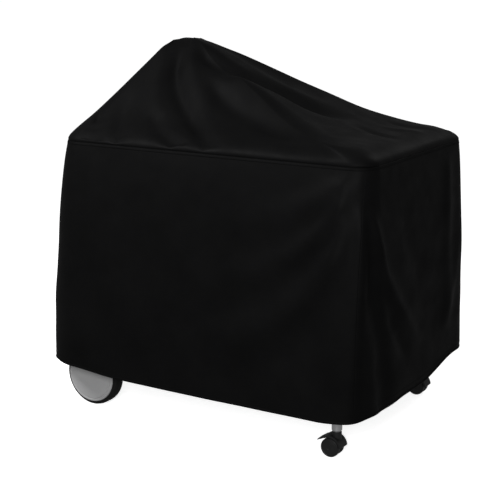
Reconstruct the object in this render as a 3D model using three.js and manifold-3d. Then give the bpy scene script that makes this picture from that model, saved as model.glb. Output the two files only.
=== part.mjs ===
// Fitted cover on a wheeled kettle-grill cart. Millimetres, +Z up, standing on the floor at Z = 0.
// X runs along the cart, from the big wheels (-X) to the casters (+X). The front faces -Y.
import * as THREE from "three";
import { mergeVertices } from "three/addons/utils/BufferGeometryUtils.js";
import Module from "manifold-3d";

// ---- Driving dimensions -------------------------------------------------------------------------
// Cover: the seam ring lies at worktop level, the hem ring hangs near the floor.
const SEAM_Z = 886;
const SEAM_LEFT = -541;
const SEAM_RIGHT = 565;
const SEAM_HALF_DEPTH = 357;
const SEAM_CORNER_R = 70;
const HEM_Z = 147;
const HEM_HALF_LENGTH = 585;
const HEM_HALF_DEPTH = 437;
const HEM_CORNER_R = 140;
const PEAK_X = -283;
const PEAK_Z = 1211;
const CLOTH = 3; // wall of the plain solids that stand for the fabric
const SHOULDER_RISE = 43; // how far the top rises over the seam across the shoulder
const SHOULDER_WIDTH = 84;
const TENT_POWER_LEFT = 0.97; // 1 is a straight slope from peak to seam, more sags below it
const TENT_POWER_RIGHT = 1.36;
const PEAK_ROUNDING = 0.117; // share of the way to the seam over which the peak is rounded
const TENT_BLEND = 40; // softness of the line where the slope meets the shoulder
const FLARE_SHARE = 0.67; // share of the skirt's flare that eases in close under the seam
const FLARE_POWER = 3.7;
const SEAM_FELL = { height: 10, thickness: 1.6 };
const HEM_BINDING_HEIGHT = 28;
const CORNER_TAPE = { width: 26, thickness: 1.2, clear: 2 }; // clear of the panels' inner facets

// Cart frame
const TABLE_TOP_Z = 915;
const TABLE_THICK = 22;
const TABLE_LEFT = -22;
const TABLE_RIGHT = 528;
const TABLE_HALF_DEPTH = 318;
const TABLE_CORNER_R = 34;
const LEG_R = 16;
const RAIL = { width: 30, height: 40 };
const CROSSBAR = { width: 24, height: 24 };
const LEG_BELOW_AXLE = 20;
const SHELF = { z: 226, thick: 12, railThick: 9, slatWidth: 44, slats: 7, rail: 26, clear: 3 };

// Big wheels
const WHEEL_X = -447;
const WHEEL_R = 101.5; // axle height over the floor: the tyre's flats touch it
const TYRE_WIDTH = 44;
const TYRE_HEIGHT = 23;
const WHEEL_FACE_Y = 345;
const WHEEL_SIDES = 32;
// The hub cap's insets are from the tread and, for its boss, from the rim.
const HUB_CAP = { inset: 10.5, proud: 8, thick: 4, bossInset: 4, bossWall: 5 };
const RIM_SEAT_CHAMFER = 3;
const RIM_DISC = { half: 5, hubR: 26 };
const AXLE_R = 6;
const AXLE_INSET = 8; // of the axle's ends from the wheels' outer faces

// Casters
const CASTER_X = 457;
const CASTER_Y = 318;
const CASTER_TRAIL = 14; // the wheel axle lies this far behind the swivel axis, towards -X
const CASTER_WHEEL_R = 30;
const CASTER_WHEEL_WIDTH = 18;
const CASTER_WHEEL_GAP = 10;
const CASTER_SIDES = 24;
const CASTER_HOOD = { clear: 2.5, wall: 4, from: 22, to: 121 }; // over the wheels, and degrees from +X
const CASTER_BOSS = { above: 20, radius: 15 }; // the swivel boss, above the wheels
const CASTER_WEB_HUB_R = 13;
const CASTER_AXLE_R = 4;
const STEM = { radius: 5.4, length: 42, collarR: 13, collarHeight: 3.4 };
const BRAKE = { length: 24, width: 34, thick: 4, knuckleR: 3.5, angle: 128, droop: 14 };

// Kettle
const KETTLE_R = 220;
const KETTLE_RIM_Z = 868;
const BOWL_DEPTH = 200;
const LID_HEIGHT = 192;
const KETTLE_WALL = 2.5;
const RIM_FLANGE = 6;
const KETTLE_SIDES = 24;
const KETTLE_STEPS = 5; // facets from rim to pole
const DAMPER_R = 34;
const DAMPER_THICK = 1.5;
const DAMPER_TAB = { length: 26, width: 16, thick: 3, inset: 9 }; // on the lid's damper
const DAMPER_LEVER = { length: 150, width: 12, thick: 3, inset: 15 }; // under the bowl's damper
const DAMPER_HOLES = { count: 3, radius: 7, pitchR: 20 };
const HANDLE = { span: 86, rod: 4.5, bend: 14, gripR: 12, gripLength: 54, topZ: 1188 };
const CATCHER = { radius: 88, height: 48, topZ: 640, wall: 1.6 };
const STRAP = { width: 24, thick: 3, clear: 3 };
const BOWL_BRACKET = { width: 60, thick: 10, clear: 2 };
const CHARCOAL_GRATE_DROP = 128;
const COOKING_GRATE_DROP = 12;
const GRATE_BAR = 4;
const GRATE_FIT = 0.975; // of the bowl's inner radius, to clear the facets of its wall

const GAP = 0.3; // between pieces that touch
const RUN = 0.5; // running clearance of what turns

// ---- Values worked out from the driving dimensions ----------------------------------------------
const LEFT_LEG_Y = WHEEL_FACE_Y - TYRE_WIDTH - 1 - LEG_R;
const TYRE_MID_Y = WHEEL_FACE_Y - TYRE_WIDTH / 2;
const TABLE_UNDER_Z = TABLE_TOP_Z - TABLE_THICK;
const LEG_TOP_Z = TABLE_UNDER_Z - GAP;
const RAIL_Y = (LEFT_LEG_Y + CASTER_Y) / 2;
const RAIL_INNER_Y = RAIL_Y - RAIL.width / 2;
const RAIL_Z = LEG_TOP_Z - RAIL.height / 2;
const SHELF_UNDER_Z = SHELF.z - SHELF.thick;
const LOWER_BAR_Z = SHELF_UNDER_Z - GAP - CROSSBAR.height / 2;
const CASTER_AXLE_X = CASTER_X - CASTER_TRAIL;
const CASTER_TOP_Z = 2 * CASTER_WHEEL_R + CASTER_BOSS.above;
const HOOD_INNER = CASTER_WHEEL_R + CASTER_HOOD.clear;
const HOOD_OUTER = HOOD_INNER + CASTER_HOOD.wall;
const CASTER_LEG_BOTTOM_Z = CASTER_TOP_Z + STEM.collarHeight + 2 * GAP;
const BOWL_BOTTOM_Z = KETTLE_RIM_Z - BOWL_DEPTH;
const LID_BASE_Z = KETTLE_RIM_Z + GAP;
const LID_TOP_Z = LID_BASE_Z + LID_HEIGHT;
const TAU = Math.PI * 2;

const SEAM = { left: SEAM_LEFT, right: SEAM_RIGHT, half: SEAM_HALF_DEPTH, r: SEAM_CORNER_R };
const HEM = { left: -HEM_HALF_LENGTH, right: HEM_HALF_LENGTH, half: HEM_HALF_DEPTH, r: HEM_CORNER_R };

// ---- Materials ----------------------------------------------------------------------------------
function finish(color, roughness, metalness = 0) {
  return new THREE.MeshStandardMaterial({ color, roughness, metalness });
}
const FABRIC = finish(0x0c0c0d, 0.75);
const BINDING = finish(0x090909, 0.7);
const STEEL = finish(0x9a9b9e, 0.35, 0.8);
const ENAMEL = finish(0x141416, 0.25, 0.1);
const TYRE = finish(0x151515, 0.85);
const HUB = finish(0x8f9092, 0.45, 0.3);
const BLACK_PLASTIC = finish(0x1b1b1c, 0.5);
const TABLE_PLASTIC = finish(0x55575a, 0.6);
const GRATE = finish(0x77787a, 0.4, 0.7);

// ---- Geometry helpers ---------------------------------------------------------------------------
// A closed geometry with shared corners, ready for a boolean or for a mesh.
function closed(geometry) {
  const plain = geometry.index ? geometry.toNonIndexed() : geometry.clone();
  plain.deleteAttribute("normal");
  plain.deleteAttribute("uv");
  return mergeVertices(plain, 1e-3);
}

const wasm = await Module();
wasm.setup();

function solidOf(geometry) {
  const merged = closed(geometry);
  const vertProperties = new Float32Array(merged.attributes.position.array);
  const triVerts = new Uint32Array(merged.index.array);
  return new wasm.Manifold(new wasm.Mesh({ numProp: 3, vertProperties, triVerts }));
}

function geometryOf(solid) {
  const made = solid.getMesh();
  const geometry = new THREE.BufferGeometry();
  geometry.setAttribute("position", new THREE.BufferAttribute(new Float32Array(made.vertProperties), 3));
  geometry.setIndex(new THREE.BufferAttribute(new Uint32Array(made.triVerts), 1));
  return geometry;
}

function joined(geometries) {
  const [first, ...rest] = geometries.map(solidOf);
  return geometryOf(rest.reduce((sum, solid) => sum.add(solid), first));
}

function cut(geometry, tools) {
  return geometryOf(tools.map(solidOf).reduce((left, tool) => left.subtract(tool), solidOf(geometry)));
}

function block(size, centre) {
  return new THREE.BoxGeometry(...size).translate(...centre);
}

// A straight round bar or hole between two points.
function rod(from, to, radius, sides = 16) {
  const a = new THREE.Vector3(...from);
  const b = new THREE.Vector3(...to);
  const geometry = new THREE.CylinderGeometry(radius, radius, a.distanceTo(b), sides);
  const turn = new THREE.Quaternion();
  turn.setFromUnitVectors(new THREE.Vector3(0, 1, 0), b.clone().sub(a).normalize());
  geometry.applyQuaternion(turn);
  const middle = a.add(b).multiplyScalar(0.5);
  return geometry.translate(middle.x, middle.y, middle.z);
}

// A solid of revolution about Y. Its flats, not its corners, lie at the profile's radii.
function turned(profile, sides) {
  const reach = 1 / Math.cos(Math.PI / sides);
  const points = profile.map(([radius, along]) => new THREE.Vector2(radius * reach, along));
  return new THREE.LatheGeometry(points, sides, Math.PI / sides);
}

// The same, standing up: revolved about Z.
function turnedUp(profile, sides) {
  return turned(profile, sides).rotateX(Math.PI / 2);
}

// A box of nu x nv x nw cells whose unit coordinates are carried to a shape.
function shaped(nu, nv, nw, place) {
  const geometry = new THREE.BoxGeometry(1, 1, 1, nu, nv, nw);
  const position = geometry.attributes.position;
  for (let i = 0; i < position.count; i++) {
    const [u, v, w] = [position.getX(i), position.getY(i), position.getZ(i)];
    const p = place(u + 0.5, v + 0.5, w + 0.5);
    position.setXYZ(i, p.x, p.y, p.z);
  }
  return geometry;
}

// ---- Cover: the outline at a level, and the surface above and below the seam --------------------
// Sides run anticlockwise from the front. Each one covers its straight and half of both its corners.
const SIDES = [
  { name: "front", along: [1, 0], out: [0, -1] },
  { name: "right", along: [0, 1], out: [1, 0] },
  { name: "back", along: [-1, 0], out: [0, 1] },
  { name: "left", along: [0, -1], out: [-1, 0] },
];
const CORNER_SHARE = 0.3; // share of a side's parameter that each of its half corners takes

// A point of a ring and its outward direction in plan, for a side and t from 0 to 1 along it.
function ringPoint(ring, side, t) {
  const { along, out } = SIDES[side];
  const centreX = (ring.left + ring.right) / 2;
  const halfX = (ring.right - ring.left) / 2;
  const reach = side % 2 === 0 ? ring.half : halfX;
  const straight = (side % 2 === 0 ? halfX : ring.half) - ring.r;
  const lead = Math.min(t / CORNER_SHARE - 1, 0);
  const trail = Math.max((t - 1) / CORNER_SHARE + 1, 0);
  const angle = ((lead + trail) * Math.PI) / 4;
  const middle = THREE.MathUtils.clamp((t - CORNER_SHARE) / (1 - 2 * CORNER_SHARE), 0, 1) * 2 - 1;
  const nx = out[0] * Math.cos(angle) + along[0] * Math.sin(angle);
  const ny = out[1] * Math.cos(angle) + along[1] * Math.sin(angle);
  const x = centreX + out[0] * (reach - ring.r) + along[0] * straight * middle + nx * ring.r;
  const y = out[1] * (reach - ring.r) + along[1] * straight * middle + ny * ring.r;
  return { x, y, nx, ny };
}

// Height of the top at a point rho of the way from the peak (0) to a seam point (1).
function topHeight(seam, rho) {
  const dx = seam.x - PEAK_X;
  const dy = seam.y;
  const edge = dx * seam.nx + dy * seam.ny;
  const lean = (dx / Math.hypot(dx, dy) + 1) / 2;
  const power = TENT_POWER_LEFT + (TENT_POWER_RIGHT - TENT_POWER_LEFT) * lean;
  const q = THREE.MathUtils.clamp(1 - ((1 - rho) * edge) / SHOULDER_WIDTH, 0, 1);
  const table = SEAM_Z + SHOULDER_RISE * Math.sqrt(1 - q * q);
  const span = Math.hypot(1, PEAK_ROUNDING);
  const climb = (span - Math.hypot(rho, PEAK_ROUNDING)) / (span - PEAK_ROUNDING);
  const tent = SEAM_Z + (PEAK_Z - SEAM_Z) * Math.max(climb, 0) ** power;
  const soft = TENT_BLEND * Math.min(1, (1 - rho) * 8);
  return (tent + table + Math.hypot(tent - table, soft)) / 2;
}

function topPoint(side, t, rho) {
  const seam = ringPoint(SEAM, side, t);
  const x = PEAK_X + (seam.x - PEAK_X) * rho;
  return new THREE.Vector3(x, seam.y * rho, topHeight(seam, rho));
}

// A skirt point, s of the way down from the seam (0) to the hem (1), moved outwards by offset.
function skirtPoint(side, t, s, offset) {
  const seam = ringPoint(SEAM, side, t);
  const hem = ringPoint(HEM, side, t);
  const flare = FLARE_SHARE * (1 - (1 - s) ** FLARE_POWER) + (1 - FLARE_SHARE) * s;
  const x = seam.x + (hem.x - seam.x) * flare + seam.nx * offset;
  const y = seam.y + (hem.y - seam.y) * flare + seam.ny * offset;
  return new THREE.Vector3(x, y, SEAM_Z + (HEM_Z - SEAM_Z) * s);
}

const SKIRT_COLUMNS = 10;
const SKIRT_ROWS = 7;
const ROW_POWER = 1.25; // rows crowd towards the seam, where the skirt curves most
const SKIRT_DROP = SEAM_Z - HEM_Z;
const depthShare = (z) => (SEAM_Z - z) / SKIRT_DROP;

// Top panel: outer and inner surface of one shell, closed round its rim.
function topPanel() {
  const perSide = 8;
  const rings = 9;
  const columns = perSide * SIDES.length;
  const geometry = new THREE.SphereGeometry(1, columns, 2 * rings + 1);
  const position = geometry.attributes.position;
  const small = 1e-3;
  for (let i = 0; i < position.count; i++) {
    const row = Math.floor(i / (columns + 1));
    const column = i % (columns + 1) % columns;
    const side = Math.floor(column / perSide);
    const t = (column % perSide) / perSide;
    const inner = row > rings;
    const step = (inner ? 2 * rings + 1 - row : row) / rings;
    const rho = Math.sin((step * Math.PI) / 2);
    const p = topPoint(side, t, rho);
    if (inner) {
      const slopeX = topPoint(side, t, Math.min(rho + small, 1)).sub(topPoint(side, t, rho - small));
      const seam = ringPoint(SEAM, side, t);
      const across = new THREE.Vector3(-seam.ny, seam.nx, 0);
      const normal = across.cross(slopeX.negate()).normalize();
      if (rho < small) normal.set(0, 0, 1);
      if (rho > 1 - small) normal.set(seam.nx, seam.ny, 0);
      p.addScaledVector(normal, -CLOTH);
    }
    position.setXYZ(i, p.x, p.y, p.z + GAP);
  }
  return closed(geometry);
}

// One skirt panel, from corner middle to corner middle and from the seam to the hem binding.
function skirtPanel(side) {
  const edge = (GAP * CORNER_SHARE) / ((SEAM_CORNER_R * Math.PI) / 4) / 2; // half the gap at a join
  const bottom = depthShare(HEM_Z + HEM_BINDING_HEIGHT + GAP);
  const place = (u, v, w) => {
    const s = bottom * (1 - v) ** ROW_POWER;
    return skirtPoint(side, edge + u * (1 - 2 * edge), s, (w - 1) * CLOTH);
  };
  return shaped(SKIRT_COLUMNS, SKIRT_ROWS, 1, place);
}

// A closed band round the skirt between two levels, from one offset to another.
function skirtBand(topZ, bottomZ, innerOffset, outerOffset) {
  const perSide = SKIRT_COLUMNS;
  const columns = perSide * SIDES.length;
  const geometry = new THREE.TorusGeometry(1, 0.1, 4, columns);
  const position = geometry.attributes.position;
  const section = [
    [topZ, outerOffset],
    [topZ, innerOffset],
    [bottomZ, innerOffset],
    [bottomZ, outerOffset],
  ];
  for (let i = 0; i < position.count; i++) {
    const corner = Math.floor(i / (columns + 1)) % 4;
    const column = i % (columns + 1) % columns;
    const side = Math.floor(column / perSide);
    const [z, offset] = section[corner];
    const p = skirtPoint(side, (column % perSide) / perSide, depthShare(z), offset);
    position.setXYZ(i, p.x, p.y, p.z);
  }
  return closed(geometry);
}

// Tape over the inside of a corner's vertical join, from the seam to the hem binding.
function cornerTape(side) {
  const next = (side + 1) % SIDES.length;
  const bottom = depthShare(HEM_Z + HEM_BINDING_HEIGHT + GAP);
  const reach = CORNER_TAPE.width / 2 / ((HEM_CORNER_R * Math.PI) / 4 / CORNER_SHARE);
  const place = (u, v, w) => {
    const s = bottom * (1 - v) ** ROW_POWER;
    const t = 1 + (u * 2 - 1) * reach;
    const offset = -CLOTH - CORNER_TAPE.clear - CORNER_TAPE.thickness * (1 - w);
    return t <= 1 ? skirtPoint(side, t, s, offset) : skirtPoint(next, t - 1, s, offset);
  };
  return shaped(2, SKIRT_ROWS, 1, place);
}

// ---- Group and mesh helper ----------------------------------------------------------------------
const group = new THREE.Group();

function add(name, geometry, material) {
  const mesh = new THREE.Mesh(closed(geometry), material);
  mesh.geometry.computeVertexNormals();
  mesh.name = name;
  group.add(mesh);
  return mesh;
}

// ---- Cover --------------------------------------------------------------------------------------
function addCover() {
  add("cover_top_panel", topPanel(), FABRIC);
  SIDES.forEach(({ name }, side) => {
    add(`cover_${name}_panel`, skirtPanel(side), FABRIC);
    const next = SIDES[(side + 1) % SIDES.length].name;
    add(`cover_${name}_${next}_tape`, cornerTape(side), BINDING);
  });
  add(
    "cover_top_seam",
    skirtBand(SEAM_Z, SEAM_Z - SEAM_FELL.height, 2 * GAP, 2 * GAP + SEAM_FELL.thickness),
    BINDING,
  );
  add(
    "cover_hem_binding",
    skirtBand(HEM_Z + HEM_BINDING_HEIGHT, HEM_Z, -CLOTH - 1, 0.5),
    BINDING,
  );
}

// ---- Cart frame ---------------------------------------------------------------------------------
function addFrame() {
  for (const [place, sign] of [["front", -1], ["back", 1]]) {
    const wheelLegY = sign * LEFT_LEG_Y;
    const legFoot = WHEEL_R - LEG_BELOW_AXLE;
    const holeFrom = [WHEEL_X, -WHEEL_FACE_Y, WHEEL_R];
    const holeTo = [WHEEL_X, WHEEL_FACE_Y, WHEEL_R];
    const axleHole = rod(holeFrom, holeTo, AXLE_R + GAP, 12);
    const wheelLeg = rod([WHEEL_X, wheelLegY, legFoot], [WHEEL_X, wheelLegY, LEG_TOP_Z], LEG_R, 20);
    add(`${place}_wheel_leg`, cut(wheelLeg, [axleHole]), STEEL);

    const casterLegY = sign * CASTER_Y;
    const foot = CASTER_LEG_BOTTOM_Z;
    const casterLeg = rod([CASTER_X, casterLegY, foot], [CASTER_X, casterLegY, LEG_TOP_Z], LEG_R, 20);
    const socketTop = foot + STEM.length + 1;
    const socket = rod(
      [CASTER_X, casterLegY, foot - 1],
      [CASTER_X, casterLegY, socketTop],
      STEM.radius + RUN + GAP,
      16,
    );
    add(`${place}_caster_leg`, cut(casterLeg, [socket]), STEEL);

    const railLeft = WHEEL_X + LEG_R + GAP;
    const railRight = CASTER_X - LEG_R - GAP;
    add(
      `${place}_rail`,
      block(
        [railRight - railLeft, RAIL.width, RAIL.height],
        [(railLeft + railRight) / 2, sign * RAIL_Y, RAIL_Z],
      ),
      STEEL,
    );
  }
  const axleEnd = WHEEL_FACE_Y - AXLE_INSET;
  add("wheel_axle", rod([WHEEL_X, -axleEnd, WHEEL_R], [WHEEL_X, axleEnd, WHEEL_R], AXLE_R, 12), STEEL);

  const wheelBar = 2 * (LEFT_LEG_Y - LEG_R - GAP);
  const casterBar = 2 * (CASTER_Y - LEG_R - GAP);
  const { width, height } = CROSSBAR;
  add("wheel_end_crossbar", block([width, wheelBar, height], [WHEEL_X, 0, LOWER_BAR_Z]), STEEL);
  add("caster_end_crossbar", block([width, casterBar, height], [CASTER_X, 0, LOWER_BAR_Z]), STEEL);
  add("bottom_shelf", bottomShelf(), GRATE);
  add("table_top", tableTop(), TABLE_PLASTIC);
}

// Slats run along X, tied by two rails across them, and lie on the two lower crossbars.
function bottomShelf() {
  const left = WHEEL_X - CROSSBAR.width / 2;
  const right = CASTER_X + CROSSBAR.width / 2;
  const half = LEFT_LEG_Y - LEG_R - SHELF.clear;
  const middle = (left + right) / 2;
  const pitch = (2 * half - SHELF.slatWidth) / (SHELF.slats - 1);
  const pieces = [];
  for (let i = 0; i < SHELF.slats; i++) {
    const y = -half + SHELF.slatWidth / 2 + i * pitch;
    const size = [right - left, SHELF.slatWidth, SHELF.thick / 2];
    pieces.push(block(size, [middle, y, SHELF.z - SHELF.thick / 4]));
  }
  for (const x of [left + SHELF.rail, middle, right - SHELF.rail]) {
    const size = [SHELF.rail, 2 * half, SHELF.railThick];
    pieces.push(block(size, [x, 0, SHELF_UNDER_Z + SHELF.railThick / 2]));
  }
  return joined(pieces);
}

function roundedOutline(left, right, half, radius) {
  const shape = new THREE.Shape();
  shape.absarc(right - radius, half - radius, radius, 0, Math.PI / 2);
  shape.absarc(left + radius, half - radius, radius, Math.PI / 2, Math.PI);
  shape.absarc(left + radius, -half + radius, radius, Math.PI, Math.PI * 1.5);
  shape.absarc(right - radius, -half + radius, radius, Math.PI * 1.5, TAU);
  return shape;
}

function tableTop() {
  const outline = roundedOutline(TABLE_LEFT, TABLE_RIGHT, TABLE_HALF_DEPTH, TABLE_CORNER_R);
  const options = { depth: TABLE_THICK, bevelEnabled: false, curveSegments: 4 };
  return new THREE.ExtrudeGeometry(outline, options).translate(0, 0, TABLE_UNDER_Z);
}

// ---- Kettle -------------------------------------------------------------------------------------
// Points of a quarter ellipse from the rim (radius, 0) to the pole (0, height), the pole left out.
function quarter(radius, height, steps) {
  return Array.from({ length: steps }, (_, i) => {
    const angle = (i / steps) * (Math.PI / 2);
    return [radius * Math.cos(angle), height * Math.sin(angle)];
  });
}

function holesRound(fromZ, toZ, { count, radius, pitchR }) {
  return Array.from({ length: count }, (_, i) => {
    const angle = (i / count) * TAU + Math.PI / 6;
    const [x, y] = [pitchR * Math.cos(angle), pitchR * Math.sin(angle)];
    return rod([x, y, fromZ], [x, y, toZ], radius, 10);
  });
}

// Walls of the bowl and the lid in their own frame: the rim at z = 0, the pole at +height.
// turned() runs its profile about Y, so that rotateX turns +Y into +Z.
function shellProfile(height) {
  const outer = quarter(KETTLE_R, height, KETTLE_STEPS);
  const inner = quarter(KETTLE_R - KETTLE_WALL, height - KETTLE_WALL, KETTLE_STEPS);
  outer[0] = [KETTLE_R, RIM_FLANGE];
  const flange = [[KETTLE_R + RIM_FLANGE, 0], [KETTLE_R + RIM_FLANGE, RIM_FLANGE]];
  const profile = [[0, height - KETTLE_WALL], ...inner.slice().reverse(), ...flange, ...outer, [0, height]];
  return profile;
}

// A bail of round bar, standing astride the damper: two uprights and a crossbar along Y.
function handleBracket() {
  const half = HANDLE.span / 2;
  const foot = lidSurfaceZ(half) - 1;
  const top = HANDLE.topZ - HANDLE.gripR;
  const { bend } = HANDLE;
  const path = new THREE.CurvePath();
  const at = (y, z) => new THREE.Vector3(PEAK_X, y, z);
  path.add(new THREE.LineCurve3(at(-half, foot), at(-half, top - bend)));
  path.add(new THREE.QuadraticBezierCurve3(at(-half, top - bend), at(-half, top), at(-half + bend, top)));
  path.add(new THREE.LineCurve3(at(-half + bend, top), at(half - bend, top)));
  path.add(new THREE.QuadraticBezierCurve3(at(half - bend, top), at(half, top), at(half, top - bend)));
  path.add(new THREE.LineCurve3(at(half, top - bend), at(half, foot)));
  const section = new THREE.Shape().absarc(0, 0, HANDLE.rod, 0, TAU);
  return new THREE.ExtrudeGeometry(section, { steps: 30, curveSegments: 3, extrudePath: path });
}

function lidSurfaceZ(radius) {
  return LID_BASE_Z + LID_HEIGHT * Math.sqrt(1 - (radius / KETTLE_R) ** 2);
}

// A round grate: a ring with bars across it, all of one bar's thickness.
function grate(radius, z, bars) {
  const outer = radius;
  const inner = radius - 2 * GRATE_BAR;
  const half = GRATE_BAR / 2;
  const ring = [[inner, -half], [outer, -half], [outer, half], [inner, half], [inner, -half]];
  const pieces = [turnedUp(ring, 24)];
  for (let i = 1; i <= bars; i++) {
    const y = -inner + (i * 2 * inner) / (bars + 1);
    const reach = Math.sqrt(inner * inner - y * y) + GRATE_BAR / 2;
    pieces.push(block([2 * reach, GRATE_BAR, GRATE_BAR * 0.8], [0, y, 0]));
  }
  return joined(pieces).translate(PEAK_X, 0, z);
}

function addKettle() {
  const above = LID_TOP_Z + 50;
  const lidShell = turnedUp(shellProfile(LID_HEIGHT), KETTLE_SIDES).translate(0, 0, LID_BASE_Z);
  const lidHoles = holesRound(LID_BASE_Z, above, DAMPER_HOLES);
  add("kettle_lid", cut(lidShell, lidHoles).translate(PEAK_X, 0, 0), ENAMEL);

  const bowlShell = turnedUp(shellProfile(BOWL_DEPTH), KETTLE_SIDES);
  bowlShell.rotateX(Math.PI).translate(0, 0, KETTLE_RIM_Z);
  const bowlHoles = holesRound(BOWL_BOTTOM_Z - 40, KETTLE_RIM_Z, DAMPER_HOLES);
  add("kettle_bowl", cut(bowlShell, bowlHoles).translate(PEAK_X, 0, 0), ENAMEL);

  // Both dampers are flat discs with the same holes: they turn to open or close the vents.
  const discHalf = DAMPER_THICK / 2;
  const disc = [[0, -discHalf], [DAMPER_R, -discHalf], [DAMPER_R, discHalf], [0, discHalf]];
  const lidDamperZ = LID_TOP_Z + GAP + discHalf;
  const tab = DAMPER_TAB;
  const tabX = -DAMPER_R + tab.inset - tab.length / 2;
  const lidTab = block([tab.length, tab.width, tab.thick], [tabX, 0, tab.thick / 2 - discHalf]);
  const holes = holesRound(-tab.length, tab.length, DAMPER_HOLES);
  const lidDisc = cut(joined([turnedUp(disc, 28), lidTab]), holes);
  add("lid_damper", lidDisc.translate(PEAK_X, 0, lidDamperZ), STEEL);

  const bowlDamperZ = BOWL_BOTTOM_Z - GAP - discHalf;
  const leverSize = [DAMPER_LEVER.width, DAMPER_LEVER.length, DAMPER_LEVER.thick];
  const leverY = -DAMPER_R + DAMPER_LEVER.inset - DAMPER_LEVER.length / 2;
  const lever = block(leverSize, [0, leverY, discHalf - 1 - DAMPER_LEVER.thick / 2]);
  const bowlDisc = cut(joined([turnedUp(disc, 28), lever]), holes);
  add("bowl_damper", bowlDisc.translate(PEAK_X, 0, bowlDamperZ), STEEL);

  add("lid_handle_bracket", cut(handleBracket(), [lidShell.clone().translate(PEAK_X, 0, GAP)]), STEEL);
  const gripZ = HANDLE.topZ - HANDLE.gripR;
  const gripHalf = HANDLE.gripLength / 2;
  const grip = rod([PEAK_X, -gripHalf, gripZ], [PEAK_X, gripHalf, gripZ], HANDLE.gripR, 16);
  const boreR = HANDLE.rod + 2 * GAP;
  const gripHole = rod([PEAK_X, -gripHalf * 2, gripZ], [PEAK_X, gripHalf * 2, gripZ], boreR, 12);
  add("lid_handle_grip", cut(grip, [gripHole]), BLACK_PLASTIC);

  const innerAt = (drop) => {
    const share = drop / (BOWL_DEPTH - KETTLE_WALL);
    return (KETTLE_R - KETTLE_WALL) * Math.sqrt(1 - share * share);
  };
  add(
    "charcoal_grate",
    grate(innerAt(CHARCOAL_GRATE_DROP + GRATE_BAR) * GRATE_FIT, KETTLE_RIM_Z - CHARCOAL_GRATE_DROP, 5),
    GRATE,
  );
  add(
    "cooking_grate",
    grate(innerAt(COOKING_GRATE_DROP + GRATE_BAR) * GRATE_FIT, KETTLE_RIM_Z - COOKING_GRATE_DROP, 9),
    GRATE,
  );

  const { radius, height, topZ, wall } = CATCHER;
  const catcher = [
    [0, 0],
    [radius - 12, 0],
    [radius, 12],
    [radius, height],
    [radius - wall, height],
    [radius - wall, 12],
    [radius - 12 - wall, wall],
    [0, wall],
  ];
  add("ash_catcher", turnedUp(catcher, 24).translate(PEAK_X, 0, topZ - height), STEEL);
  add("ash_catcher_strap", catcherStrap(), STEEL);

  for (const [place, sign] of [["front", -1], ["back", 1]]) {
    const inner = KETTLE_R + BOWL_BRACKET.clear;
    const outer = RAIL_INNER_Y - GAP;
    const top = KETTLE_RIM_Z - RIM_FLANGE - GAP;
    const size = [BOWL_BRACKET.width, outer - inner, BOWL_BRACKET.thick];
    const at = [PEAK_X, (sign * (inner + outer)) / 2, top - BOWL_BRACKET.thick / 2];
    add(`${place}_bowl_bracket`, block(size, at), STEEL);
  }
}

// A U-shaped strap that carries the ash catcher from the underside of the bowl.
function catcherStrap() {
  const { width, thick, clear } = STRAP;
  const arm = CATCHER.radius + clear + thick / 2;
  const below = CATCHER.topZ - CATCHER.height - GAP - thick / 2;
  const share = (arm + thick) / KETTLE_R;
  const armTop = KETTLE_RIM_Z - BOWL_DEPTH * Math.sqrt(1 - share * share) - 1;
  const armHeight = armTop - below + thick / 2;
  const armZ = armTop - armHeight / 2;
  const pieces = [block([2 * arm + thick, width, thick], [0, 0, below])];
  for (const sign of [-1, 1]) {
    pieces.push(block([thick, width, armHeight], [sign * arm, 0, armZ]));
  }
  return joined(pieces).translate(PEAK_X, 0, 0);
}

// ---- Wheels -------------------------------------------------------------------------------------
function mirroredY(geometry, sign) {
  return sign > 0 ? geometry : geometry.rotateZ(Math.PI);
}

function addWheels() {
  const half = TYRE_WIDTH / 2;
  const seat = WHEEL_R - TYRE_HEIGHT;
  const shoulder = 6;
  const tyre = [
    [seat, -half + RIM_SEAT_CHAMFER],
    [WHEEL_R - shoulder, -half],
    [WHEEL_R, -half + shoulder],
    [WHEEL_R, half - shoulder],
    [WHEEL_R - shoulder, half],
    [seat, half - RIM_SEAT_CHAMFER],
    [seat, -half + RIM_SEAT_CHAMFER],
  ];
  const rimR = seat - GAP;
  const rimEdge = half - RIM_SEAT_CHAMFER - 1;
  const bore = AXLE_R + RUN;
  const rim = [
    [bore, -rimEdge],
    [RIM_DISC.hubR, -rimEdge],
    [RIM_DISC.hubR + 4, -RIM_DISC.half],
    [rimR - 10, -RIM_DISC.half],
    [rimR - 8, -rimEdge],
    [rimR, -rimEdge],
    [rimR, rimEdge],
    [rimR - 8, rimEdge],
    [rimR - 10, RIM_DISC.half],
    [bore, RIM_DISC.half],
    [bore, -rimEdge],
  ];
  // The cap's boss rests on the rim's edge, and its lip covers the inner part of the sidewall.
  const { proud, thick, inset, bossInset, bossWall } = HUB_CAP;
  const capR = WHEEL_R - inset;
  const bossR = rimR - bossInset;
  const capBack = half + GAP;
  const cap = [
    [0, capBack + proud - thick],
    [bossR - bossWall, capBack + proud - thick],
    [bossR - bossWall, rimEdge + GAP],
    [bossR, rimEdge + GAP],
    [bossR, capBack],
    [capR, capBack],
    [capR, capBack + 3],
    [capR - 5, capBack + proud],
    [0, capBack + proud],
  ];
  for (const [place, sign] of [["front", -1], ["back", 1]]) {
    const at = [WHEEL_X, sign * TYRE_MID_Y, WHEEL_R];
    const put = (profile) => mirroredY(turned(profile, WHEEL_SIDES), sign).translate(...at);
    add(`${place}_wheel_tyre`, put(tyre), TYRE);
    add(`${place}_wheel_rim`, put(rim), BLACK_PLASTIC);
    add(`${place}_wheel_hub_cap`, put(cap), HUB);
  }
}

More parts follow.
